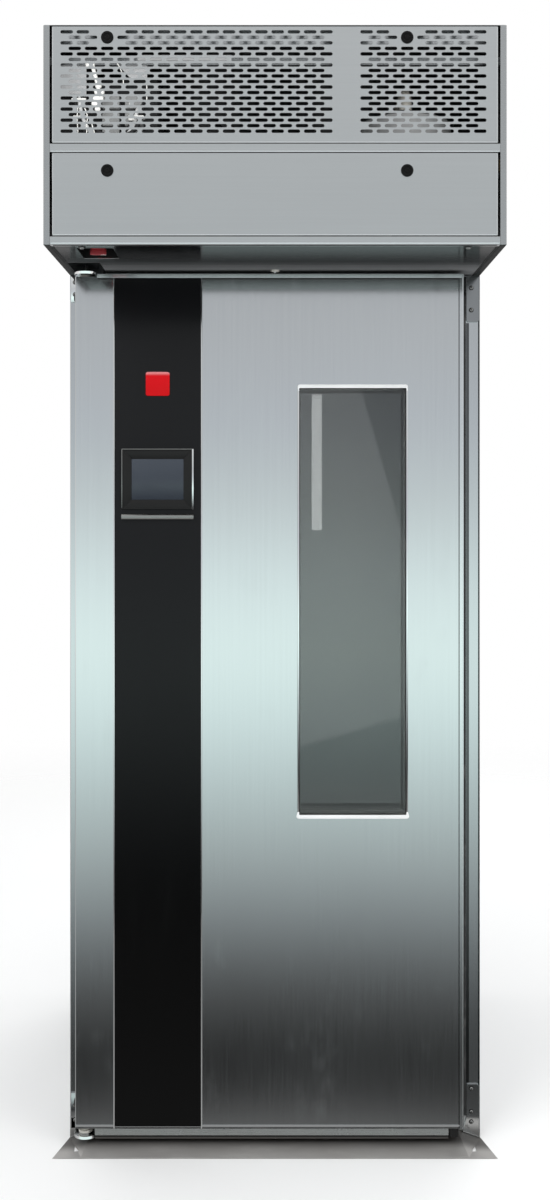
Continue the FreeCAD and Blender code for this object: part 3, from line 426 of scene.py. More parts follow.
def rounded_block(low, high, radius=0.001, segments=2):
    """A block between two corners, with rounded edges."""
    shape = bmesh.new()
    bmesh.ops.create_cube(shape, size=1.0)
    low, high = Vector(low), Vector(high)
    size = high - low
    bmesh.ops.scale(shape, vec=size, verts=shape.verts)
    bmesh.ops.translate(shape, vec=(low + high) / 2, verts=shape.verts)
    radius = min(radius, min(size) * 0.49)
    bmesh.ops.bevel(shape, geom=list(shape.edges), offset=radius, segments=segments, profile=0.5, affect="EDGES")
    return shape


def extruded(outline, along, radius=0.0, segments=2):
    """A flat outline drawn out along a vector, with rounded edges where a radius is given."""
    shape = bmesh.new()
    near = [shape.verts.new(point) for point in outline]
    far = [shape.verts.new(Vector(point) + Vector(along)) for point in outline]
    shape.faces.new(near)
    shape.faces.new(far[::-1])
    for index in range(len(near)):
        following = (index + 1) % len(near)
        shape.faces.new((near[index], far[index], far[following], near[following]))
    bmesh.ops.recalc_face_normals(shape, faces=shape.faces)
    if radius:
        bmesh.ops.bevel(shape, geom=list(shape.edges), offset=radius, segments=segments, profile=0.5, affect="EDGES")
    return shape


towards = {"+Z": Matrix.Identity(4), "-Z": Matrix.Rotation(math.pi, 4, "X"), "+Y": Matrix.Rotation(-math.pi / 2, 4, "X"),
           "-Y": Matrix.Rotation(math.pi / 2, 4, "X"), "+X": Matrix.Rotation(math.pi / 2, 4, "Y"),
           "-X": Matrix.Rotation(-math.pi / 2, 4, "Y")}


def turned(profile, centre, way="+Z", steps=40, hollow=False):
    """A lathe-turned shape from pairs of radius and reach; a hollow one closes its profile on itself."""
    shape = bmesh.new()
    rings = []
    for radius, reach in profile:
        count = steps if radius > 1e-6 else 1
        rings.append([shape.verts.new((radius * math.cos(math.tau * step / steps),
                                       radius * math.sin(math.tau * step / steps), reach)) for step in range(count)])
    pairs = list(zip(rings, rings[1:]))
    if hollow:
        pairs.append((rings[-1], rings[0]))
    else:
        for ring in (rings[0], rings[-1]):
            if len(ring) > 1:
                shape.faces.new(ring)
    for near, far in pairs:
        for step in range(steps):
            following = (step + 1) % steps
            corners = [near[step % len(near)], near[following % len(near)], far[following % len(far)],
                       far[step % len(far)]]
            shape.faces.new(list(dict.fromkeys(corners)))
    bmesh.ops.transform(shape, matrix=Matrix.Translation(Vector(centre)) @ towards[way], verts=shape.verts)
    return shape


def many_sided(sides, radius, centre, depth, way="+Z", edge=0.0006, turn=0.0):
    """A nut or other regular bar with softened edges."""
    points = [(radius * math.cos(math.tau * step / sides + turn), radius * math.sin(math.tau * step / sides + turn), 0)
              for step in range(sides)]
    shape = extruded(points, (0, 0, depth), edge, 1)
    bmesh.ops.transform(shape, matrix=Matrix.Translation(Vector(centre)) @ towards[way], verts=shape.verts)
    return shape


def line_shape(points, radius, smooth=True, rings=6):
    """A round bar along points, eased through them or straight between them."""
    curve = bpy.data.curves.new("line", "CURVE")
    curve.dimensions = "3D"
    curve.bevel_depth = radius
    curve.bevel_resolution = rings
    curve.use_fill_caps = True
    spline = curve.splines.new("NURBS" if smooth else "POLY")
    spline.points.add(len(points) - 1)
    for target, point in zip(spline.points, points):
        target.co = (*point, 1.0)
    if smooth:
        spline.order_u = 3
        spline.use_endpoint_u = True
        spline.resolution_u = 8
    return shape_from_curve(curve)


def shape_from_curve(curve):
    holder = bpy.data.objects.new("holder", curve)
    bpy.context.scene.collection.objects.link(holder)
    mesh = bpy.data.meshes.new_from_object(holder.evaluated_get(bpy.context.evaluated_depsgraph_get()))
    shape = bmesh.new()
    shape.from_mesh(mesh)
    bmesh.ops.remove_doubles(shape, verts=shape.verts, dist=1e-6)
    bpy.data.objects.remove(holder)
    bpy.data.meshes.remove(mesh)
    return shape


def rounded_bends(points, bend, steps=6):
    """The same route with each corner replaced by a tangent arc."""
    points = [Vector(point) for point in points]
    route = [points[0]]
    for before, corner, after in zip(points, points[1:], points[2:]):
        way_in, way_out = (before - corner).normalized(), (after - corner).normalized()
        half = way_in.angle(way_out) / 2
        setback = bend / math.tan(half)
        centre = corner + (way_in + way_out).normalized() * (bend / math.sin(half))
        start, end = corner + way_in * setback, corner + way_out * setback
        for step in range(steps + 1):
            spoke = (start - centre).normalized().slerp((end - centre).normalized(), step / steps)
            route.append(centre + spoke * bend)
    return route + [points[-1]]


def pierced_sheet(outlines, front, thickness):
    """An upright sheet with its front at y = front; the first outline is its border, in x and z."""
    curve = bpy.data.curves.new("sheet", "CURVE")
    curve.dimensions = "2D"
    curve.fill_mode = "BOTH"
    curve.extrude = thickness / 2
    for outline in outlines:
        spline = curve.splines.new("POLY")
        spline.points.add(len(outline) - 1)
        for target, (x, z) in zip(spline.points, outline):
            target.co = (x, z, 0, 1)
        spline.use_cyclic_u = True
    shape = shape_from_curve(curve)
    stand = Matrix.Translation((0, front + thickness / 2, 0)) @ Matrix.Rotation(math.pi / 2, 4, "X")
    bmesh.ops.transform(shape, matrix=stand, verts=shape.verts)
    return shape


def rounded_rectangle(x_low, x_high, z_low, z_high, radius, steps=5):
    """A closed outline in x and z with round corners."""
    points = []
    corners = ((x_high - radius, z_high - radius, 0), (x_low + radius, z_high - radius, 90),
               (x_low + radius, z_low + radius, 180), (x_high - radius, z_low + radius, 270))
    for x, z, start in corners:
        for step in range(steps + 1):
            angle = math.radians(start + 90 * step / steps)
            points.append((x + radius * math.cos(angle), z + radius * math.sin(angle)))
    return points


def piece(name, shape, finish, body, replaces=(), crease=32):
    """Makes a shaded object of a shape, and lets it ride on its body."""
    mesh = bpy.data.meshes.new(name)
    bmesh.ops.recalc_face_normals(shape, faces=shape.faces)
    shape.to_mesh(mesh)
    shape.free()
    mesh.polygons.foreach_set("use_smooth", [True] * len(mesh.polygons))
    mesh.set_sharp_from_angle(angle=math.radians(crease))
    made = bpy.data.objects.new(name, mesh)
    bpy.context.scene.collection.objects.link(made)
    mesh.materials.append(finish)
    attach(made, body)
    if replaces:
        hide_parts(*replaces)
    return made


def dressed(node, finish, rounding=0.0008):
    """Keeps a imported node's own shape, with its finish and softened edges."""
    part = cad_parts[node]
    part.data.materials.clear()
    part.data.materials.append(finish)
    if rounding:
        weld = part.modifiers.new("weld", "WELD")
        weld.merge_threshold = 0.00001
        soften = part.modifiers.new("soften", "BEVEL")
        soften.width = rounding
        soften.segments = 2
        soften.limit_method = "ANGLE"
        soften.angle_limit = math.radians(28)
        soften.harden_normals = True
    return part


def frame_ring(outside, inside, y_span, radius=0.0008):
    """Four mitred bars round an opening; the spans are x low, x high, z low, z high."""
    corners = []
    for x_low, x_high, z_low, z_high in (outside, inside):
        corners.append([(x_low, z_low), (x_high, z_low), (x_high, z_high), (x_low, z_high)])
    bars = []
    for index in range(4):
        following = (index + 1) % 4
        outline = [corners[0][index], corners[0][following], corners[1][following], corners[1][index]]
        points = [(x, y_span[0], z) for x, z in outline]
        bars.append(extruded(points, (0, y_span[1] - y_span[0], 0), radius, 2))
    return together(*bars)


def pan_head(centre, way, radius, height, turn=0.4):
    """A screw head: a low dome."""
    profile = [(radius, 0), (radius, height * 0.35), (radius * 0.9, height * 0.72), (radius * 0.62, height * 0.95),
               (0, height)]
    return turned(profile, centre, way, 24)


# Machine compartment: sheet metal


def slot_outline(x_start, z_middle, length=0.027, width=0.0075):
    """One obround slot, in x and z."""
    radius = width / 2
    points = []
    for centre_x, start in ((x_start + length - radius, -90), (x_start + radius, 90)):
        for step in range(7):
            angle = math.radians(start + 30 * step)
            points.append((centre_x + radius * math.cos(angle), z_middle + radius * math.sin(angle)))
    return points


def perforated_panel():
    """The upper access panel: two fields of staggered slots, left plain round the fasteners."""
    low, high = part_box("upper_access_panel")
    outlines = [rounded_rectangle(low.x, high.x, low.z, high.z, 0.0015, 3)]
    for row in range(19):
        height = 2.561 - 0.0119 * row
        shift = row % 2
        for start, count in ((-0.4627, 17), (0.184, 8)):
            for index in range(count - shift):
                x_start = start + 0.035 * (index + 0.5 * shift)
                near = any(abs(x_start + 0.0135 - x) < 0.0215 and abs(height - 2.5491) < 0.020
                           for x in (-0.3617, 0.285))
                if not near:
                    outlines.append(slot_outline(x_start, height))
    sheet = pierced_sheet(outlines, canopy_face, 0.0010)
    outside = (low.x, high.x, low.z, high.z)
    inside = (low.x + 0.0015, high.x - 0.0015, low.z + 0.0015, high.z - 0.0015)
    folds = frame_ring(outside, inside, (canopy_face + 0.0012, canopy_face + 0.014), 0.0004)
    piece("perforated_panel", together(sheet, folds), canopy_steel, "upper_access_panel", ["upper_access_panel"])


def quarter_turn_fastener(name, x, z):
    """A black quarter-turn head in its ring, with a raised wing, on a stud with its cam tip."""
    front = canopy_face - 0.003
    centre = (x, canopy_face - 0.0003, z)
    head = turned([(0.0122, 0), (0.0122, 0.0020), (0.0117, 0.0025), (0.0088, 0.0025), (0.0080, 0.0012), (0.0046, 0.0008),
                   (0.0042, 0.0019), (0, 0.0019)], centre, "-Y")
    wing = rounded_block((x - 0.0075, front + 0.0009, z - 0.0013), (x + 0.0075, front + 0.0020, z + 0.0013), 0.0004)
    stud = turned([(0.0040, 0), (0.0040, 0.0200), (0.0034, 0.0260), (0, 0.0260)], (x, canopy_face, z), "+Y", 20)
    body = name + "_fastener"
    piece(name + "_fastener_head", together(head, wing, stud), fastener_black, body, [body])
    ring = turned([(0.0135, 0), (0.0135, 0.0014), (0.0130, 0.0021), (0.0122, 0.0021), (0.0122, 0)], centre, "-Y",
                  hollow=True)
    piece(name + "_fastener_ring", ring, fastener_black, body)


def leaning_strip(x_low, x_high, face, z_low, z_high, lean):
    """A slim strip on an upright face; its front leans out at the top by the given amount."""
    return extruded([(x_low, face + 0.001, z_low), (x_low, face - 0.0002, z_low), (x_low, face - 0.0002 - lean, z_high),
                     (x_low, face + 0.001, z_high)], (x_high - x_low, 0, 0))


def canopy():
    dressed("canopy_left_side", canopy_side_steel, 0.0012)
    dressed("canopy_right_side", canopy_side_steel, 0.0012)
    dressed("canopy_roof", roof_steel)
    dressed("canopy_back", canopy_steel)
    dressed("canopy_bottom_rail", canopy_steel, 0.0010)
    dressed("canopy_mid_rail", canopy_steel, 0.0010)
    dressed("canopy_base_plate", underside_steel, 0.0004)
    # Black seal lines along the sheet's sides, and a front line that is both the seam and a painted shadow in it.
    lines = [rounded_block((x, canopy_face + 0.020, 2.1026), (x + 0.005, body_face - 0.001, underside + 0.0002), 0.0004, 1)
             for x in (-0.4865, 0.4815)]
    lines.append(rounded_block((-0.480, canopy_face + 0.0010, 2.1017), (0.480, canopy_face + 0.0105, 2.1022), 0.0002, 1))
    piece("underside_seal_and_shade_lines", together(*lines), seal_black, "cabinet")
    dressed("lower_access_panel", canopy_steel, 0.0012)
    perforated_panel()
    for node, finish_at in (("upper_access_panel", "upper"), ("lower_access_panel", "lower")):
        low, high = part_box(node)
        fold = leaning_strip(low.x + 0.002, high.x - 0.002, canopy_face, low.z + 0.0002, low.z + 0.0022, 0.0001)
        sides = [rounded_block((x, canopy_face - 0.0003, low.z + 0.003), (x + 0.0018, canopy_face + 0.0008, high.z - 0.002),
                               0.0002, 1) for x in (low.x + 0.0003, high.x - 0.0021)]
        piece(finish_at + "_panel_folds", together(fold, *sides), fold_highlight_steel, node)
    panel_foot, panel_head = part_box("upper_access_panel")[0].z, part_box("lower_access_panel")[1].z
    lower_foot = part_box("lower_access_panel")[0].z
    rails = [leaning_strip(-0.484, 0.484, canopy_face, z, z + 0.0022, 0.0002) for z in (panel_head + 0.0022, 2.1042)]
    # Black strips behind the panel gaps: painted shade inside the gaps.
    gap_shades = [rounded_block((-0.480, canopy_face + 0.0008, z - 0.0022), (0.480, canopy_face + 0.004, z + 0.0002), 0.0002, 1)
              for z in (panel_foot, panel_head + 0.0020, lower_foot)]
    piece("rail_folds", together(*rails), fold_highlight_steel, "cabinet")
    piece("panel_gap_shade_strips", together(*gap_shades), seal_black, "cabinet")
    for level, z in (("upper", 2.5491), ("lower", 2.262)):
        for hand, x in (("left", -0.3617), ("right", 0.285)):
            quarter_turn_fastener(level + "_" + hand, x, z)


# Main switch


def main_switch():
    """The housing over the opening, and the red knob with its ribbed skirt and grip."""
    dressed("main_switch_box", black_satin, 0.002)
    lip = rounded_block((switch_x - 0.040, switch_y + 0.0617, underside - 0.0004), (switch_x + 0.040, switch_y + 0.0625,
                        underside + 0.0012), 0.0002, 1)
    piece("switch_opening_edge", lip, bright_steel, "cabinet")
    top = underside + 0.021 - 0.0003
    skirt = bmesh.new()
    rings = []
    for radius, z in ((0.0150, top - 0.0118), (0.0158, top - 0.0120), (0.0200, top - 0.0012), (0.0208, top)):
        ring = []
        for step in range(96):
            ribbed = radius * (1.0 - 0.022 * (step % 4 == 0)) if z < top - 0.001 else radius
            angle = math.tau * step / 96
            ring.append(skirt.verts.new((switch_x + ribbed * math.cos(angle), switch_y + ribbed * math.sin(angle), z)))
        rings.append(ring)
    for near, far in zip(rings, rings[1:]):
        for step in range(96):
            following = (step + 1) % 96
            skirt.faces.new((near[step], near[following], far[following], far[step]))
    skirt.faces.new(rings[0])
    skirt.faces.new(rings[-1])
    outline = [(switch_x + along * 0.014, switch_y - side * 0.006, top - 0.024) if abs(along) < 1 else
               (switch_x + along * 0.018, switch_y - side * 0.002, top - 0.024)
               for side, along in ((1, 0.9), (1, 1), (-1, 1), (-1, 0.9), (-1, -0.9), (-1, -1), (1, -1), (1, -0.9))]
    grip = extruded(outline, (0, 0, 0.013), 0.0012)
    shaft = turned([(0.005, 0), (0.005, 0.016), (0, 0.016)], (switch_x, switch_y, top - 0.005), steps=24)
    piece("switch_knob", together(skirt, grip, shaft), switch_red, "main_switch_knob", ["main_switch_knob"])
    pointer = rounded_block((switch_x + 0.006, switch_y - 0.0012, top - 0.0243), (switch_x + 0.0176, switch_y + 0.0012,
                            top - 0.0236), 0.0002, 1)
    piece("switch_pointer", pointer, tie_white, "main_switch_knob")


# Machinery behind the panels


def machinery():
    """What shows through the slots, and when the panels are off."""
    dressed("equipment_rail", zinc_steel, 0.0004)
    dressed("fan_plenum", zinc_steel, 0.001)
    box = together(rounded_block((-0.4985, -0.636, 2.250), (-0.262, -0.420, 2.490), 0.004, 3),
                   rounded_block((-0.4925, -0.640, 2.256), (-0.268, -0.634, 2.484), 0.003, 3),
                   turned([(0.009, 0), (0.009, 0.003), (0.006, 0.005), (0, 0.005)], (-0.285, -0.640, 2.370), "-Y", 24))
    piece("control_enclosure", box, enamel_dark, "cabinet", ["control_box"])
    plates = together(rounded_block((-0.470, -0.690, 2.441), (-0.413, -0.686, 2.506), 0.001),
                      extruded([(-0.346, -0.690, 2.506), (-0.318, -0.690, 2.477), (-0.280, -0.690, 2.472),
                                (-0.280, -0.690, 2.506)], (0, 0.003, 0)),
                      rounded_block((-0.3005, -0.690, 2.512), (-0.094, -0.6965, 2.524), 0.001))
    piece("terminal_plates", plates, enamel_grey, "cabinet")
    relays = [rounded_block((x - 0.019, -0.6705, z - 0.015), (x + 0.019, -0.640, z + 0.015), 0.002)
              for x in (-0.362, -0.312) for z in (2.430, 2.392, 2.358)]
    piece("relays", together(*relays), jacket_grey, "cabinet")
    edge = rounded_block((-0.413, -0.6985, 2.5080), (-0.094, -0.696, 2.5104), 0.0006)
    piece("rail_edge", edge, window_trim, "cabinet")

    vessel = turned([(0.060, 0.014), (0.086, 0.016), (0.099, 0.024), (0.1035, 0.040), (0.1035, 0.295), (0.099, 0.309),
                     (0.086, 0.315), (0.050, 0.315), (0.050, 0.325), (0, 0.325)], (0.300, -0.540, 2.105), steps=56)
    bands = [turned([(0.1035, z), (0.1050, z + 0.001), (0.1050, z + 0.011), (0.1035, z + 0.012)], (0.300, -0.540, 2.105),
                    steps=56, hollow=True) for z in (0.070, 0.250)]
    skirt = turned([(0.080, 0), (0.080, 0.020)], (0.300, -0.540, 2.105), steps=48)
    bolts = [many_sided(6, 0.005, (0.300 + 0.042 * math.cos(math.tau * step / 6),
                                   -0.540 + 0.042 * math.sin(math.tau * step / 6), 2.4300), 0.0035) for step in range(6)]
    piece("boiler", together(vessel, skirt, *bands, *bolts), jacket_grey, "cabinet", ["steam_generator"])

    hose = line_shape(rounded_bends([(0.300, -0.540, 2.430), (0.300, -0.540, 2.488), (0.300, 0.040, 2.488),
                                     (0.300, 0.040, plenum_top)], 0.034, 8), 0.0138, smooth=False, rings=5)
    clips = [turned([(0.0138, 0), (0.0150, 0.001), (0.0150, 0.009), (0.0138, 0.010)], (0.300, y, z), steps=32, hollow=True)
             for y, z in ((-0.540, 2.436), (0.040, 2.262))]
    piece("steam_hose", hose, hose_cream, "cabinet", ["steam_pipe"])
    piece("hose_clips", together(*clips), screw_steel, "cabinet")

    valve = together(rounded_block((0.424, -0.560, 2.300), (0.4985, -0.520, 2.330), 0.002),
                     turned([(0.0068, 0), (0.0068, 0.022)], (0.402, -0.540, 2.315), "+X", 24))
    coil = together(turned([(0.0165, 0), (0.0170, 0.003), (0.0170, 0.036), (0.0150, 0.041), (0.006, 0.042), (0, 0.042)],
                           (0.450, -0.540, 2.330), steps=32),
                    rounded_block((0.462, -0.550, 2.338), (0.482, -0.530, 2.362), 0.002))
    piece("valve_body", valve, yellow_brass, "cabinet", ["water_valve"])
    piece("valve_coil", coil, black_satin, "cabinet")

    for index, offset in enumerate((-0.010, 0.0, 0.011)):
        lift = 0.006 * (index - 1)
        front = -0.674 - 0.004 * index
        loop = line_shape([(-0.430 + offset, -0.640, 2.452 + lift), (-0.430 + offset, front, 2.455 + lift),
                           (-0.428 + offset, front - 0.004, 2.405), (-0.405 + offset, front - 0.004, 2.352 + lift),
                           (-0.350, front - 0.006, 2.340 + lift), (-0.312 + offset, front - 0.002, 2.360),
                           (-0.300 + offset, front + 0.002, 2.424 + lift), (-0.300 + offset, -0.640, 2.426 + lift)],
                          0.0045, rings=4)
        made = piece("front_cable_" + str(index + 1), loop, cable_grey if index == 1 else cable_black, "cabinet",
                     ["wiring_harness"] if index == 0 else ())
    run = line_shape([(-0.262, -0.500, 2.440), (-0.180, -0.500, 2.440), (-0.130, -0.480, 2.438), (-0.130, -0.380, 2.425),
                      (-0.130, 0.060, 2.358), (-0.130, 0.180, 2.340), (-0.105, 0.180, 2.340), (-0.074, 0.180, 2.340)],
                     0.0058, rings=4)
    piece("motor_cable", run, cable_black, "cabinet")
    bundle = line_shape([(-0.400, -0.690, 2.512), (-0.398, -0.694, 2.495), (-0.390, -0.694, 2.470), (-0.384, -0.694, 2.440),
                         (-0.390, -0.692, 2.420), (-0.388, -0.688, 2.404)], 0.0042, rings=4)
    wraps = [rounded_block((x - wide, -0.7005, z - 0.006), (x + wide, -0.688, z + 0.006), 0.0045, 4)
             for x, z, wide in ((-0.404, 2.504, 0.010), (-0.386, 2.458, 0.007), (-0.384, 2.444, 0.011), (-0.387, 2.430, 0.012),
                                (-0.391, 2.418, 0.010), (-0.388, 2.407, 0.006), (-0.314, 2.418, 0.005),
                                (-0.314, 2.387, 0.007))]
    piece("wrapped_bundle", together(bundle, *wraps), tie_white, "cabinet")
    thin = [line_shape(route, 0.0011, rings=2) for route in (
        [(-0.431, -0.696, 2.410), (-0.433, -0.698, 2.385), (-0.430, -0.698, 2.358), (-0.431, -0.696, 2.345)],
        [(-0.416, -0.696, 2.408), (-0.408, -0.698, 2.392), (-0.412, -0.698, 2.372), (-0.411, -0.696, 2.345)],
        [(-0.402, -0.696, 2.380), (-0.400, -0.698, 2.372), (-0.396, -0.698, 2.360), (-0.392, -0.696, 2.345)],
        [(-0.346, -0.697, 2.508), (-0.336, -0.698, 2.492), (-0.330, -0.698, 2.470), (-0.332, -0.697, 2.455)],
        [(-0.2805, -0.692, 2.462), (-0.2805, -0.692, 2.420)])]
    piece("thin_wires", together(*thin), tie_white, "cabinet")
    ties = [rounded_block((x - 0.016, -0.690, z - 0.002), (x + 0.016, -0.668, z + 0.002), 0.0009, 1)
            for x, z in ((-0.430, 2.430), (-0.426, 2.392), (-0.352, 2.341), (-0.303, 2.392))]
    piece("cable_ties", together(*ties), tie_white, "cabinet")

    fins = []
    for step in range(32):
        angle = math.tau * step / 32
        fin = rounded_block((0.060, -0.0011, 0.012), (0.0676, 0.0011, 0.132), 0.0006, 1)
        bmesh.ops.transform(fin, matrix=Matrix.Translation((0, fan_y, plenum_top)) @ Matrix.Rotation(angle, 4, "Z"),
                            verts=fin.verts)
        fins.append(fin)
    shell = turned([(0.066, 0), (0.066, 0.008), (0.061, 0.012), (0.061, 0.134), (0.066, 0.137), (0.063, 0.144),
                    (0.050, 0.150), (0.0101, 0.150), (0.0101, 0)], (0, fan_y, plenum_top), steps=64, hollow=True)
    terminal = rounded_block((-0.074, fan_y - 0.035, plenum_top + 0.060), (-0.050, fan_y + 0.035, plenum_top + 0.110), 0.003)
    piece("fan_motor_case", together(shell, terminal, *fins), cast_aluminium, "cabinet", ["fan_motor"])


def fan():
    """The plug fan with its curved blades, and the heating rods beside it."""
    low = 2.102 + 0.016
    plate = 2.102 + 0.148 - 0.033
    blades = []
    for step in range(6):
        outline = []
        for along in range(9):
            share = along / 8
            radius = 0.066 + (0.1465 - 0.066) * share
            lean = 0.52 * share * share + 0.10 * share
            outline.append((radius * math.cos(lean), radius * math.sin(lean)))
        inner = [(x, y, 0) for x, y in outline]
        outer = [(x - 0.0016, y + 0.0016, 0) for x, y in reversed(outline)]
        blade = extruded(inner + outer, (0, 0, plate - low))
        turn = Matrix.Translation((0, fan_y, low + 0.001)) @ Matrix.Rotation(math.tau * step / 6, 4, "Z")
        bmesh.ops.transform(blade, matrix=turn, verts=blade.verts)
        blades.append(blade)
    ring = turned([(0.100, 0), (0.1485, 0), (0.1490, 0.0015), (0.1485, 0.003), (0.106, 0.003), (0.100, 0.0075),
                   (0.0985, 0.0070)], (0, fan_y, low), steps=64, hollow=True)
    disc = turned([(0.024, -0.030), (0.026, -0.004), (0.034, 0), (0.1485, 0), (0.1490, 0.0015), (0.1485, 0.003), (0.010, 0.003),
                   (0.010, 0.069), (0, 0.069)], (0, fan_y, plate), steps=64)
    piece("fan_rotor", together(ring, disc, *blades), cast_aluminium, "fan_wheel", ["fan_wheel"])
    rods = []
    for side in (-1, 1):
        route = [(side * 0.230, 0.3585, 2.187), (side * 0.230, 0.040, 2.187), (side * 0.330, 0.040, 2.187),
                 (side * 0.330, 0.3585, 2.187)]
        rods.append(line_shape(rounded_bends(route, 0.045, 10), 0.0048, smooth=False, rings=4))
    piece("heating_rods", together(*rods), dark_rod, "cabinet", ["heater_elements"])


# Cabinet


def shell():
    dressed("left_wall", wall_steel, 0.0012)
    dressed("right_wall", wall_steel, 0.0012)
    dressed("back_wall", wall_steel, 0.0012)
    dressed("ceiling", wall_steel, 0.0008)
    dressed("floor_pan", lining_steel, 0.0008)
    dressed("wall_insulation", foam_cream, 0)
    dressed("entry_ramp", ramp_steel, 0.0008)
    dressed("left_air_duct", lining_steel, 0.0006)
    dressed("right_air_duct", lining_steel, 0.0006)
    dressed("rack_bumpers", bumper_white, 0.003)


def inside():
    """The lamp and the climate probe."""
    low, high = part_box("interior_lamp")
    base = rounded_block((low.x, low.y, high.z - 0.008), (high.x, high.y, high.z), 0.003)
    piece("lamp_base", base, satin_aluminium, "cabinet", ["interior_lamp"])
    lens = rounded_block((low.x + 0.009, low.y + 0.009, low.z), (high.x - 0.009, high.y - 0.009, high.z - 0.007), 0.010, 5)
    piece("lamp_lens", lens, lamp_glass, "cabinet")
    y, z = 0.550, 1.500
    probe = together(turned([(0.0213, 0), (0.0213, 0.0025), (0.0195, 0.004), (0.0062, 0.004), (0.0060, 0.030), (0.0048, 0.034),
                             (0, 0.034)], (0.440, y, z), "-X", 36))
    piece("climate_probe_body", probe, housing_grey, "cabinet", ["climate_probe"])


# Hinges, jamb plates and catch


def hinges():
    def arm(bottom, low_radius, high_radius, flange):
        """A round-ended plate that carries the pin, folded up into a flange on the cabinet."""
        parts = [turned([(low_radius, 0), (high_radius, 0.006), (0.009, 0.006), (0.009, 0)], (hinge_x, hinge_y, bottom),
                        steps=64, hollow=True)]
        for side in (-1, 1):
            x = hinge_x + side * 0.0185
            parts.append(rounded_block((x - 0.0092, hinge_y, bottom + 0.0001), (x + 0.0092, body_face, bottom + 0.0059),
                                       0.0004))
        parts.append(rounded_block((-0.497, body_face - 0.005, flange[0]), (hinge_x - 0.004, body_face, flange[1]), 0.0006))
        return together(*parts)

    piece("hinge_arm", arm(2.096, 0.0271, 0.0279, (2.036, 2.102)), bright_steel, "cabinet", ["hinge_brackets"])
    foot = extruded([(-x, body_face - 0.005, z) for x, z in ((0.497, 0.050), (0.497, 0.0014), (0.458, 0.0153),
                                                             (0.458, 0.022), (0.466, 0.050))], (0, 0.005, 0), 0.0005, 1)
    piece("hinge_foot", together(arm(0.024, 0.0279, 0.0269, (0.024, 0.110)), foot), jamb_plate_steel, "cabinet")
    rims = [extruded([(side * 0.497, body_face - 0.0052, 0.0014), (side * 0.497, body_face - 0.0056, 0.0034),
                      (side * 0.497, body_face - 0.004, 0.0034)], (side * -0.039, 0, 0.0139)) for side in (-1, 1)]
    piece("foot_rims", together(*rims), fold_highlight_steel, "cabinet")
    upper = together(turned([(0.008, -0.052), (0.008, -0.006), (0.0078, 0)], (hinge_x, hinge_y, 2.102), steps=32),
                     many_sided(6, 0.011, (hinge_x, hinge_y, 2.102), 0.008),
                     turned([(0.0040, 0.008), (0.0040, 0.016), (0.0032, 0.017), (0, 0.017)], (hinge_x, hinge_y, 2.102),
                            steps=20))
    lower = together(turned([(0.008, 0.024), (0.008, 0.088), (0.0066, 0.090), (0, 0.090)], (hinge_x, hinge_y, 0), steps=32),
                     many_sided(6, 0.017, (hinge_x, hinge_y, 0.030), 0.004))
    piece("pivot_pins", together(upper, lower), screw_steel, "cabinet", ["hinge_pins"])
    top_bush = turned([(0.00805, 2.046), (0.0120, 2.046), (0.0120, 2.088), (0.0168, 2.088), (0.0170, 2.0895),
                       (0.0150, 2.0940), (0.0115, 2.0956), (0.00805, 2.0956)], (hinge_x, hinge_y, 0), steps=40, hollow=True)
    low_bush = turned([(0.00805, 0.0343), (0.0166, 0.0343), (0.0170, 0.0350), (0.0170, 0.0402), (0.0120, 0.0410),
                       (0.0120, 0.0970), (0.00805, 0.0970)], (hinge_x, hinge_y, 0), steps=40, hollow=True)
    piece("pivot_bush_pair", together(top_bush, low_bush), bush_nickel, "door", ["pivot_bushes"])
    plugs = [turned([(0.0100, 0), (0.0100, 0.0030), (0.0092, 0.0048), (0.0070, 0.0059), (0, 0.0060)],
                    (door_left, hinge_y, z), "-X", 32) for z in (2.041, 0.103)]
    piece("edge_caps", together(*plugs), black_satin, "door", ["edge_plugs"])


def jamb():
    """The plates on the latch side, and all the screws of plates and hinges."""
    dressed("jamb_plates", jamb_plate_steel, 0.0006)
    # A dark strip down the jamb: the fold in it, with its shade painted in.
    fold = rounded_block((0.4662, body_face - 0.0006, 0.133), (0.4732, body_face + 0.002, 1.986), 0.0003, 1)
    piece("jamb_fold_shade", fold, shaded_steel, "cabinet")
    # Near-black strips at the wall's outer corner and at the jamb's top: painted shade.
    corner = rounded_block((0.4956, body_face - 0.0006, 0.006), (0.4988, body_face + 0.002, 2.101), 0.0003, 1)
    shade = rounded_block((0.4415, body_face - 0.0006, 2.0625), (0.4655, body_face + 0.002, 2.0990), 0.0003, 1)
    piece("jamb_corner", together(corner, shade), corner_shade_steel, "cabinet")
    places = [(0.478, z) for z in (2.071, 2.017, 0.121, 0.065, 0.040)]
    places += [(door_left - 0.009, z) for z in (2.085, 2.055, 0.080, 0.045)]
    heads = [pan_head((x, body_face - 0.005, z), "-Y", 0.0042, 0.0042) for x, z in places]
    washers_and_recess_shade = [turned([(0.0038, 0.0016), (0.0052, 0.0012), (0.0058, 0), (0.0038, 0)], (x, body_face - 0.005, z), "-Y", 28,
                      hollow=True) for x, z in places]
    for x in (-0.421, 0.421):
        heads.append(pan_head((x, canopy_face + 0.034, underside - 0.0018), "-Z", 0.0048, 0.0030))
        washers_and_recess_shade.append(turned([(0.0084, 0), (0.0084, 0.0012), (0.0074, 0.0018), (0, 0.0018)],
                              (x, canopy_face + 0.034, underside), "-Z", 32))
    piece("screw_heads", together(*heads), screw_steel, "cabinet", ["bracket_screws"])
    # Black crosses on the heads: painted shade for their cross recesses.
    for x, z in places:
        for wide, tall in ((0.0026, 0.0007), (0.0007, 0.0026)):
            washers_and_recess_shade.append(rounded_block((x - wide, body_face - 0.0092, z - tall), (x + wide, body_face - 0.0080, z + tall),
                                         0.0002, 1))
    piece("screw_recess_shade_and_washers", together(*washers_and_recess_shade), black_satin, "cabinet")


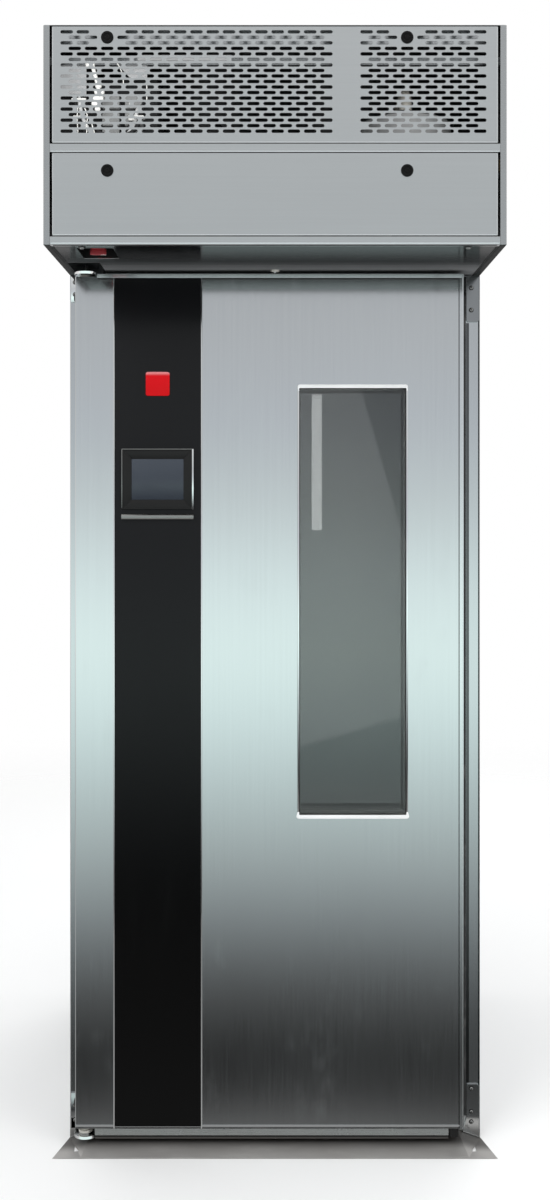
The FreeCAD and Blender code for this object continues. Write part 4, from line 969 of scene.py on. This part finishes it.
def catch():
    y = door_face + 0.003
    barrel = turned([(0.0051, -0.0040), (0.0095, -0.0040), (0.0106, -0.0028), (0.0106, 0), (0.0088, 0), (0.0088, 0.042),
                     (0.0051, 0.042)], (0, y, underside), steps=36, hollow=True)
    piece("catch_barrel", barrel, bush_nickel, "cabinet", ["catch_body"])
    tip = door_top + 0.0004
    nose = turned([(0, 0), (0.0022, 0.0005), (0.0036, 0.0015), (0.0046, 0.0032), (0.0048, 0.0050),
                   (0.0048, underside + 0.026 - tip), (0, underside + 0.026 - tip)], (0, y, tip), steps=32)
    piece("catch_nose", nose, bright_steel, "catch_plunger", ["catch_plunger"])


# Door


def door_panels():
    dressed("door_skin", door_steel, 0.0012)
    dressed("door_liner", lining_steel, 0.0015)
    dressed("door_insulation", foam_cream, 0)
    beads = []
    for x in (fascia_middle - 0.103 - 0.003, fascia_middle + 0.103):
        beads.append(rounded_block((x + 0.0002, fascia_face - 0.0005, door_bottom + 0.001),
                                   (x + 0.0030, fascia_face + 0.0015, door_top - 0.0112), 0.0009, 3))
    piece("strip_beads", together(*beads), bright_steel, "door")
    front = door_face - 0.0012
    notch_side = door_left + 0.053
    top_cap = leaning_strip(notch_side, door_right, front, door_top - 0.0104, door_top - 0.0013, 0.00045)
    side_cap = extruded([(door_right - 0.0100, front + 0.001, door_bottom), (door_right - 0.0100, front - 0.0001, door_bottom),
                         (door_right - 0.0034, front - 0.0001, door_bottom), (door_right - 0.0034, front + 0.001, door_bottom)],
                        (0, 0, door_top - 0.0097 - door_bottom))
    bottom_lip = leaning_strip(door_left + 0.001, door_right - 0.0102, door_face, 0.0556, 0.0606, 0.0004)
    piece("edge_cap_faces", together(top_cap, side_cap, bottom_lip), cap_steel, "door", crease=10)
    rounded = extruded([(door_right - 0.0032, front + 0.001, door_bottom), (door_right - 0.0032, front - 0.0002, door_bottom),
                        (door_right - 0.0018, front + 0.0001, door_bottom), (door_right - 0.0006, front + 0.0009, door_bottom),
                        (door_right + 0.0001, front + 0.0022, door_bottom), (door_right - 0.0010, front + 0.0030, door_bottom)],
                       (0, 0, door_top - 0.0097 - door_bottom))
    piece("latch_edge", rounded, fold_highlight_steel, "door", crease=60)
    # Dark lines under the top cap and above the foot: the joints, with the shadow under the proud cap painted in.
    joint = together(rounded_block((notch_side, door_face - 0.0003, door_top - 0.0138),
                                   (door_right - 0.0108, door_face + 0.0002, door_top - 0.0103), 0.0001, 1),
                     rounded_block((door_left + 0.001, door_face - 0.0003, door_bottom + 0.0006),
                                   (door_right - 0.0108, door_face + 0.0002, door_bottom + 0.0030), 0.0001, 1))
    piece("edge_cap_joint_shadow", joint, seal_black, "door")
    # A dark grey groove beside the side cap: the joint, with its shade painted in.
    groove = rounded_block((door_right - 0.0122, door_face - 0.0003, door_bottom),
                           (door_right - 0.0102, door_face + 0.0002, door_top - 0.0098), 0.0001, 1)
    piece("side_cap_joint_shadow", groove, shaded_steel, "door")
    dressed("sweep_carrier", satin_aluminium, 0.0006)
    dressed("sweep_lip", sweep_lip_rubber, 0.0008)


def gasket():
    """The bulb seal: a flat foot in its channel with a round bulb that meets the cabinet."""
    bars = []
    low, high = door_bottom + 0.006, 2.062
    for x_low, x_high, z_low, z_high in ((-0.454, -0.442, low, high), (0.442, 0.4645, low, high),
                                         (-0.454, 0.4645, high - 0.012, high)):
        bars.append(rounded_block((x_low, door_rear, z_low), (x_high, door_rear + 0.003, z_high), 0.001))
        bars.append(rounded_block((x_low + 0.0015, door_rear + 0.002, z_low + 0.001),
                                  (x_high - 0.0015, door_rear + 0.0097, z_high - 0.001), 0.0042, 5))
    piece("bulb_seal", together(*bars), seal_black, "door", ["door_gasket"])


def control_strip():
    low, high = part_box("control_fascia")
    strip = rounded_block(low, high, 0.0009, 3)
    piece("strip_face", strip, fascia_black, "door", ["control_fascia"])
    badge_low, badge_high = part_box("badge_plate")
    outline = rounded_rectangle(badge_low.x, badge_high.x, badge_low.z, badge_high.z, 0.0052, 7)
    plate = extruded([(x, badge_high.y, z) for x, z in outline], (0, badge_low.y - badge_high.y, 0), 0.0009, 3)
    piece("badge_face", plate, badge_paint, "door", ["badge_plate"])


def screen():
    low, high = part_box("screen_frame")
    frame_low = 1.532
    surround = frame_ring((low.x, high.x, frame_low, high.z), (low.x + 0.0042, high.x - 0.006, frame_low + 0.0042,
                          high.z - 0.0042), (fascia_face - 0.0055, fascia_face), 0.0008)
    piece("screen_surround", surround, black_satin, "door", ["screen_frame"])
    trims = together(rounded_block((low.x, fascia_face - 0.0062, frame_low + 0.002), (low.x + 0.0018, fascia_face - 0.0050,
                                   high.z), 0.0005),
                     rounded_block((low.x, fascia_face - 0.0062, high.z - 0.0018), (high.x, fascia_face - 0.0050, high.z),
                                   0.0005))
    piece("screen_thin_trim", trims, dull_aluminium, "door")
    edge = rounded_block((high.x - 0.0040, fascia_face - 0.0066, frame_low), (high.x, fascia_face - 0.0050, high.z - 0.001),
                         0.0007)
    piece("screen_bright_trim", edge, bright_steel, "door")
    ledge = extruded([(low.x, fascia_face, 1.508), (low.x, fascia_face - 0.0095, 1.508), (low.x, fascia_face - 0.012, 1.511),
                      (low.x, fascia_face - 0.012, 1.517), (low.x, fascia_face - 0.009, 1.520), (low.x, fascia_face, 1.520)],
                     (high.x - low.x, 0, 0), 0.0006, 2)
    piece("screen_ledge", ledge, dull_aluminium, "door")
    bezel_low, bezel_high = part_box("screen_bezel")
    wide = (fascia_middle - 0.062, fascia_middle + 0.062)
    tall = (1.603 - 0.0485, 1.603 + 0.0485)
    bezel = frame_ring((bezel_low.x, bezel_high.x, bezel_low.z, bezel_high.z), (*wide, *tall),
                       (bezel_low.y, bezel_high.y), 0.0006)
    piece("screen_border", bezel, black_satin, "door", ["screen_bezel"])
    panel = rounded_block((wide[0], fascia_face - 0.0046, tall[0]), (wide[1], fascia_face - 0.0030, tall[1]), 0.0006, 2)
    piece("display", panel, display_glass, "door", ["touch_screen"])


def door_window():
    """White rails with rounded ends above and below the glass, thin side flanges, and a dark seal."""
    left, right, bottom, top = window
    rails = []
    for edge, way, flare in ((top, 1, 0.0), (bottom, -1, 0.003)):
        outline = [(left - 0.0002, edge - way * 0.007), (left - 0.004, edge - way * 0.007)]
        for step in range(6):
            angle = math.pi / 2 * step / 5
            outline.append((left + 0.002 - flare - 0.006 * math.cos(angle), edge + way * (0.003 + 0.006 * math.sin(angle))))
        mirrored = [(left + right - x, z) for x, z in reversed(outline)]
        points = outline + mirrored + [(right, edge), (left, edge)]
        rails.append(extruded([(x, door_face, z) for x, z in points], (0, -0.0058, 0), 0.0012, 3))
    piece("window_rails", together(*rails), window_trim, "door")
    sides = frame_ring((left - 0.004, right + 0.004, bottom - 0.004, top + 0.004), (left, right, bottom, top),
                       (door_face - 0.0044, door_face + 0.002), 0.0008)
    sleeve = frame_ring((left - 0.004, right + 0.004, bottom - 0.004, top + 0.004),
                        (left - 0.0025, right + 0.0025, bottom - 0.0025, top + 0.0025), (door_face, door_face + 0.030), 0.0003)
    piece("window_outer_frame", together(sides, sleeve), bright_steel, "door", ["window_frame"])
    seal = frame_ring((left - 0.0005, right + 0.0005, bottom - 0.0005, top + 0.0005),
                      (left + 0.002, right - 0.002, bottom + 0.002, top - 0.002), (door_face - 0.0022, door_face - 0.0002), 0.0005)
    piece("window_seal", seal, seal_black, "door")
    dressed("window_inner_frame", lining_steel, 0.0008)
    dressed("window_panes", pane_glass, 0)


# Fittings on the back


def fittings():
    """The cable gland and the two threaded stubs."""
    shapes = []
    for x, z, radius in ((0.350, 2.450, 0.0132), (0.350, 2.150, 0.020)):
        profile = [(radius - 0.0035, 0.027), (radius - 0.0035, 0.003), (radius - 0.001, 0.001)]
        reach = 0.009
        while reach < 0.0255:
            profile += [(radius, reach), (radius - 0.0008, reach + 0.0009)]
            reach += 0.0018
        profile += [(radius - 0.0005, 0.027)]
        shapes.append(turned(profile, (x, body_back, z), "+Y", 40, hollow=True))
        shapes.append(many_sided(6, radius + 0.0066, (x, body_back, z), 0.008, "+Y"))
    piece("water_stubs", together(*shapes), yellow_brass, "cabinet", ["service_fittings"])
    gland = together(many_sided(6, 0.0186, (-0.350, body_back, 2.450), 0.008, "+Y"),
                     turned([(0.008, 0.002), (0.008, 0.027), (0.0105, 0.027), (0.0118, 0.022), (0.0120, 0.008), (0.012, 0.002)],
                            (-0.350, body_back, 2.450), "+Y", 36, hollow=True))
    piece("cable_gland", gland, black_satin, "cabinet")


canopy()
main_switch()
machinery()
fan()
shell()
inside()
hinges()
jamb()
catch()
door_panels()
gasket()
control_strip()
screen()
door_window()
fittings()


# Studio


def studio_floor():
    """A pale floor that fades into the white surroundings."""
    shape = bmesh.new()
    bmesh.ops.create_circle(shape, cap_ends=True, segments=96, radius=7.0)
    bmesh.ops.translate(shape, vec=(0, 0, -0.0005), verts=shape.verts)
    mesh = bpy.data.meshes.new("studio_floor")
    shape.to_mesh(mesh)
    shape.free()
    floor = bpy.data.objects.new("studio_floor", mesh)
    bpy.context.scene.collection.objects.link(floor)
    paper = Finish("studio_paper")
    cloud = paper.noise(0.8, detail=2.0)
    reach = paper.add("ShaderNodeVectorMath", {"operation": "LENGTH"}, {0: paper.place()}, output=1)
    mesh.materials.append(paper.surface(Base_Color=paper.mixed(cloud, (0.90, 0.90, 0.90), (0.93, 0.93, 0.925)),
                                        Roughness=0.85 + cloud * 0.1, Specular_IOR_Level=0.1,
                                        Alpha=1 - reach.rising(1.6, 6.0)))
    floor.visible_glossy = False


def studio_light():
    """White surroundings that metal sees as a room, and soft lamps for all that is not metal."""
    world = bpy.data.worlds.new("studio")
    bpy.context.scene.world = world
    world.use_nodes = True
    sky = Finish.__new__(Finish)
    sky.tree = world.node_tree
    way = sky.add("ShaderNodeTexCoord", output="Generated")
    rise = sky.add("ShaderNodeSeparateXYZ", inputs={0: way}, output=2) * 0.5 + 0.5
    front = 0 - sky.add("ShaderNodeSeparateXYZ", inputs={0: way}, output=1)
    # The room in front: a pale band a little below eye level, and a dark one further down.
    ahead = sky.add("ShaderNodeValToRGB", {"stops": [
        (0.0, 0.40), (0.18, 0.34), (0.27, 0.18), (0.2960, 0.22), (0.3005, 0.080), (0.305, 0.002), (0.321, 0.0), (0.342, 0.074),
        (0.3605, (0.21, 0.23, 0.24)), (0.3824, (0.39, 0.44, 0.44)), (0.403, (0.53, 0.62, 0.62)),
        (0.426, (0.72, 0.86, 0.85)), (0.450, (0.85, 1.0, 0.97)), (0.4756, (0.76, 0.87, 0.87)),
        (0.5035, (0.58, 0.63, 0.64)), (0.532, (0.485, 0.51, 0.55)), (0.557, (0.475, 0.49, 0.51)),
        (0.578, (0.44, 0.45, 0.47)), (0.60, (0.50, 0.52, 0.53)), (0.663, (0.53, 0.545, 0.555)), (0.75, 0.68), (1.0, 0.88)]},
        {0: rise})
    around = sky.add("ShaderNodeValToRGB", {"stops": [
        (0.0, 0.48), (0.30, 0.30), (0.40, 0.40), (0.47, 0.80), (0.55, 0.50), (0.75, 0.68), (1.0, 0.80)]}, {0: rise})
    room = sky.mixed(front.rising(0.35, 0.75), around, ahead)
    seen = sky.add("ShaderNodeLightPath", output="Is Camera Ray")
    shiny = sky.add("ShaderNodeLightPath", output="Is Glossy Ray")
    pale = sky.mixed(seen, (0.50, 0.505, 0.51), (0.80, 0.80, 0.80))
    backdrop = world.node_tree.nodes["Background"]
    backdrop.inputs["Strength"].default_value = 1.25
    world.node_tree.links.new(sky.mixed(shiny, pale, room).socket, backdrop.inputs["Color"])

    for name, place, aim, size, power in (("key", (-2.6, -4.2, 4.2), (0, -0.4, 1.3), 2.6, 110),
                                          ("fill", (3.2, -3.6, 2.8), (0, -0.4, 1.2), 2.6, 55),
                                          ("top", (0, -0.4, 5.4), (0, -0.2, 0), 3.6, 120),
                                          ("rear", (1.8, 4.6, 4.4), (0, 0.4, 1.3), 3.0, 90)):
        softbox(name, place, aim, (size, size), power)
    softbox("cavity", (0, -0.187, 1.995), (0, 0.1, 0.4), (0.16, 0.06), 3, (1.0, 0.93, 0.82))
    softbox("wiring", (-0.330, -0.726, 2.430), (-0.330, 0, 2.430), (0.50, 0.20), 0.36)
    softbox("boiler_side", (0.330, -0.726, 2.430), (0.330, 0, 2.430), (0.30, 0.20), 0.24)
    only_glass = bpy.data.collections.new("only_glass")
    only_glass.objects.link(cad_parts["window_panes"])
    for name, place, tilt, size, power in (("glass_strip", (0.267, -6, 1.835), 0, (0.064, 0.865), 0.40),
                                           ("glass_wedge", (0.066, -6, 1.812), 16.1, (1.2, 3.5), 4)):
        lamp = softbox(name, place, (place[0], 0, place[2]), size, power)
        lamp.rotation_euler.rotate_axis("Z", math.radians(tilt))
        lamp.visible_glossy = True
        lamp.light_linking.receiver_collection = only_glass


def softbox(name, place, aim, size, power, colour=(1.0, 1.0, 1.0)):
    lamp = bpy.data.lights.new(name, "AREA")
    lamp.shape = "RECTANGLE"
    lamp.size, lamp.size_y = size
    lamp.energy = power
    lamp.color = colour
    holder = bpy.data.objects.new(name, lamp)
    holder.location = place
    holder.rotation_euler = (Vector(aim) - Vector(place)).to_track_quat("-Z", "Y").to_euler()
    holder.visible_camera = False
    holder.visible_glossy = False
    bpy.context.scene.collection.objects.link(holder)
    return holder


def camera():
    """Level, at eye height, straight in front; the frame is shifted down as in the photograph."""
    lens = bpy.data.cameras.new("camera")
    lens.sensor_fit = "AUTO"
    lens.sensor_width = 36.0
    lens.lens = 42.3
    lens.shift_y = -0.075
    lens.clip_start, lens.clip_end = 0.05, 200
    holder = bpy.data.objects.new("camera", lens)
    holder.location = (0, -3.777, 1.530)
    holder.rotation_euler = (math.pi / 2, 0, 0)
    bpy.context.scene.collection.objects.link(holder)
    bpy.context.scene.camera = holder


camera()
studio_floor()
studio_light()
bpy.context.scene.view_settings.view_transform = "Standard"
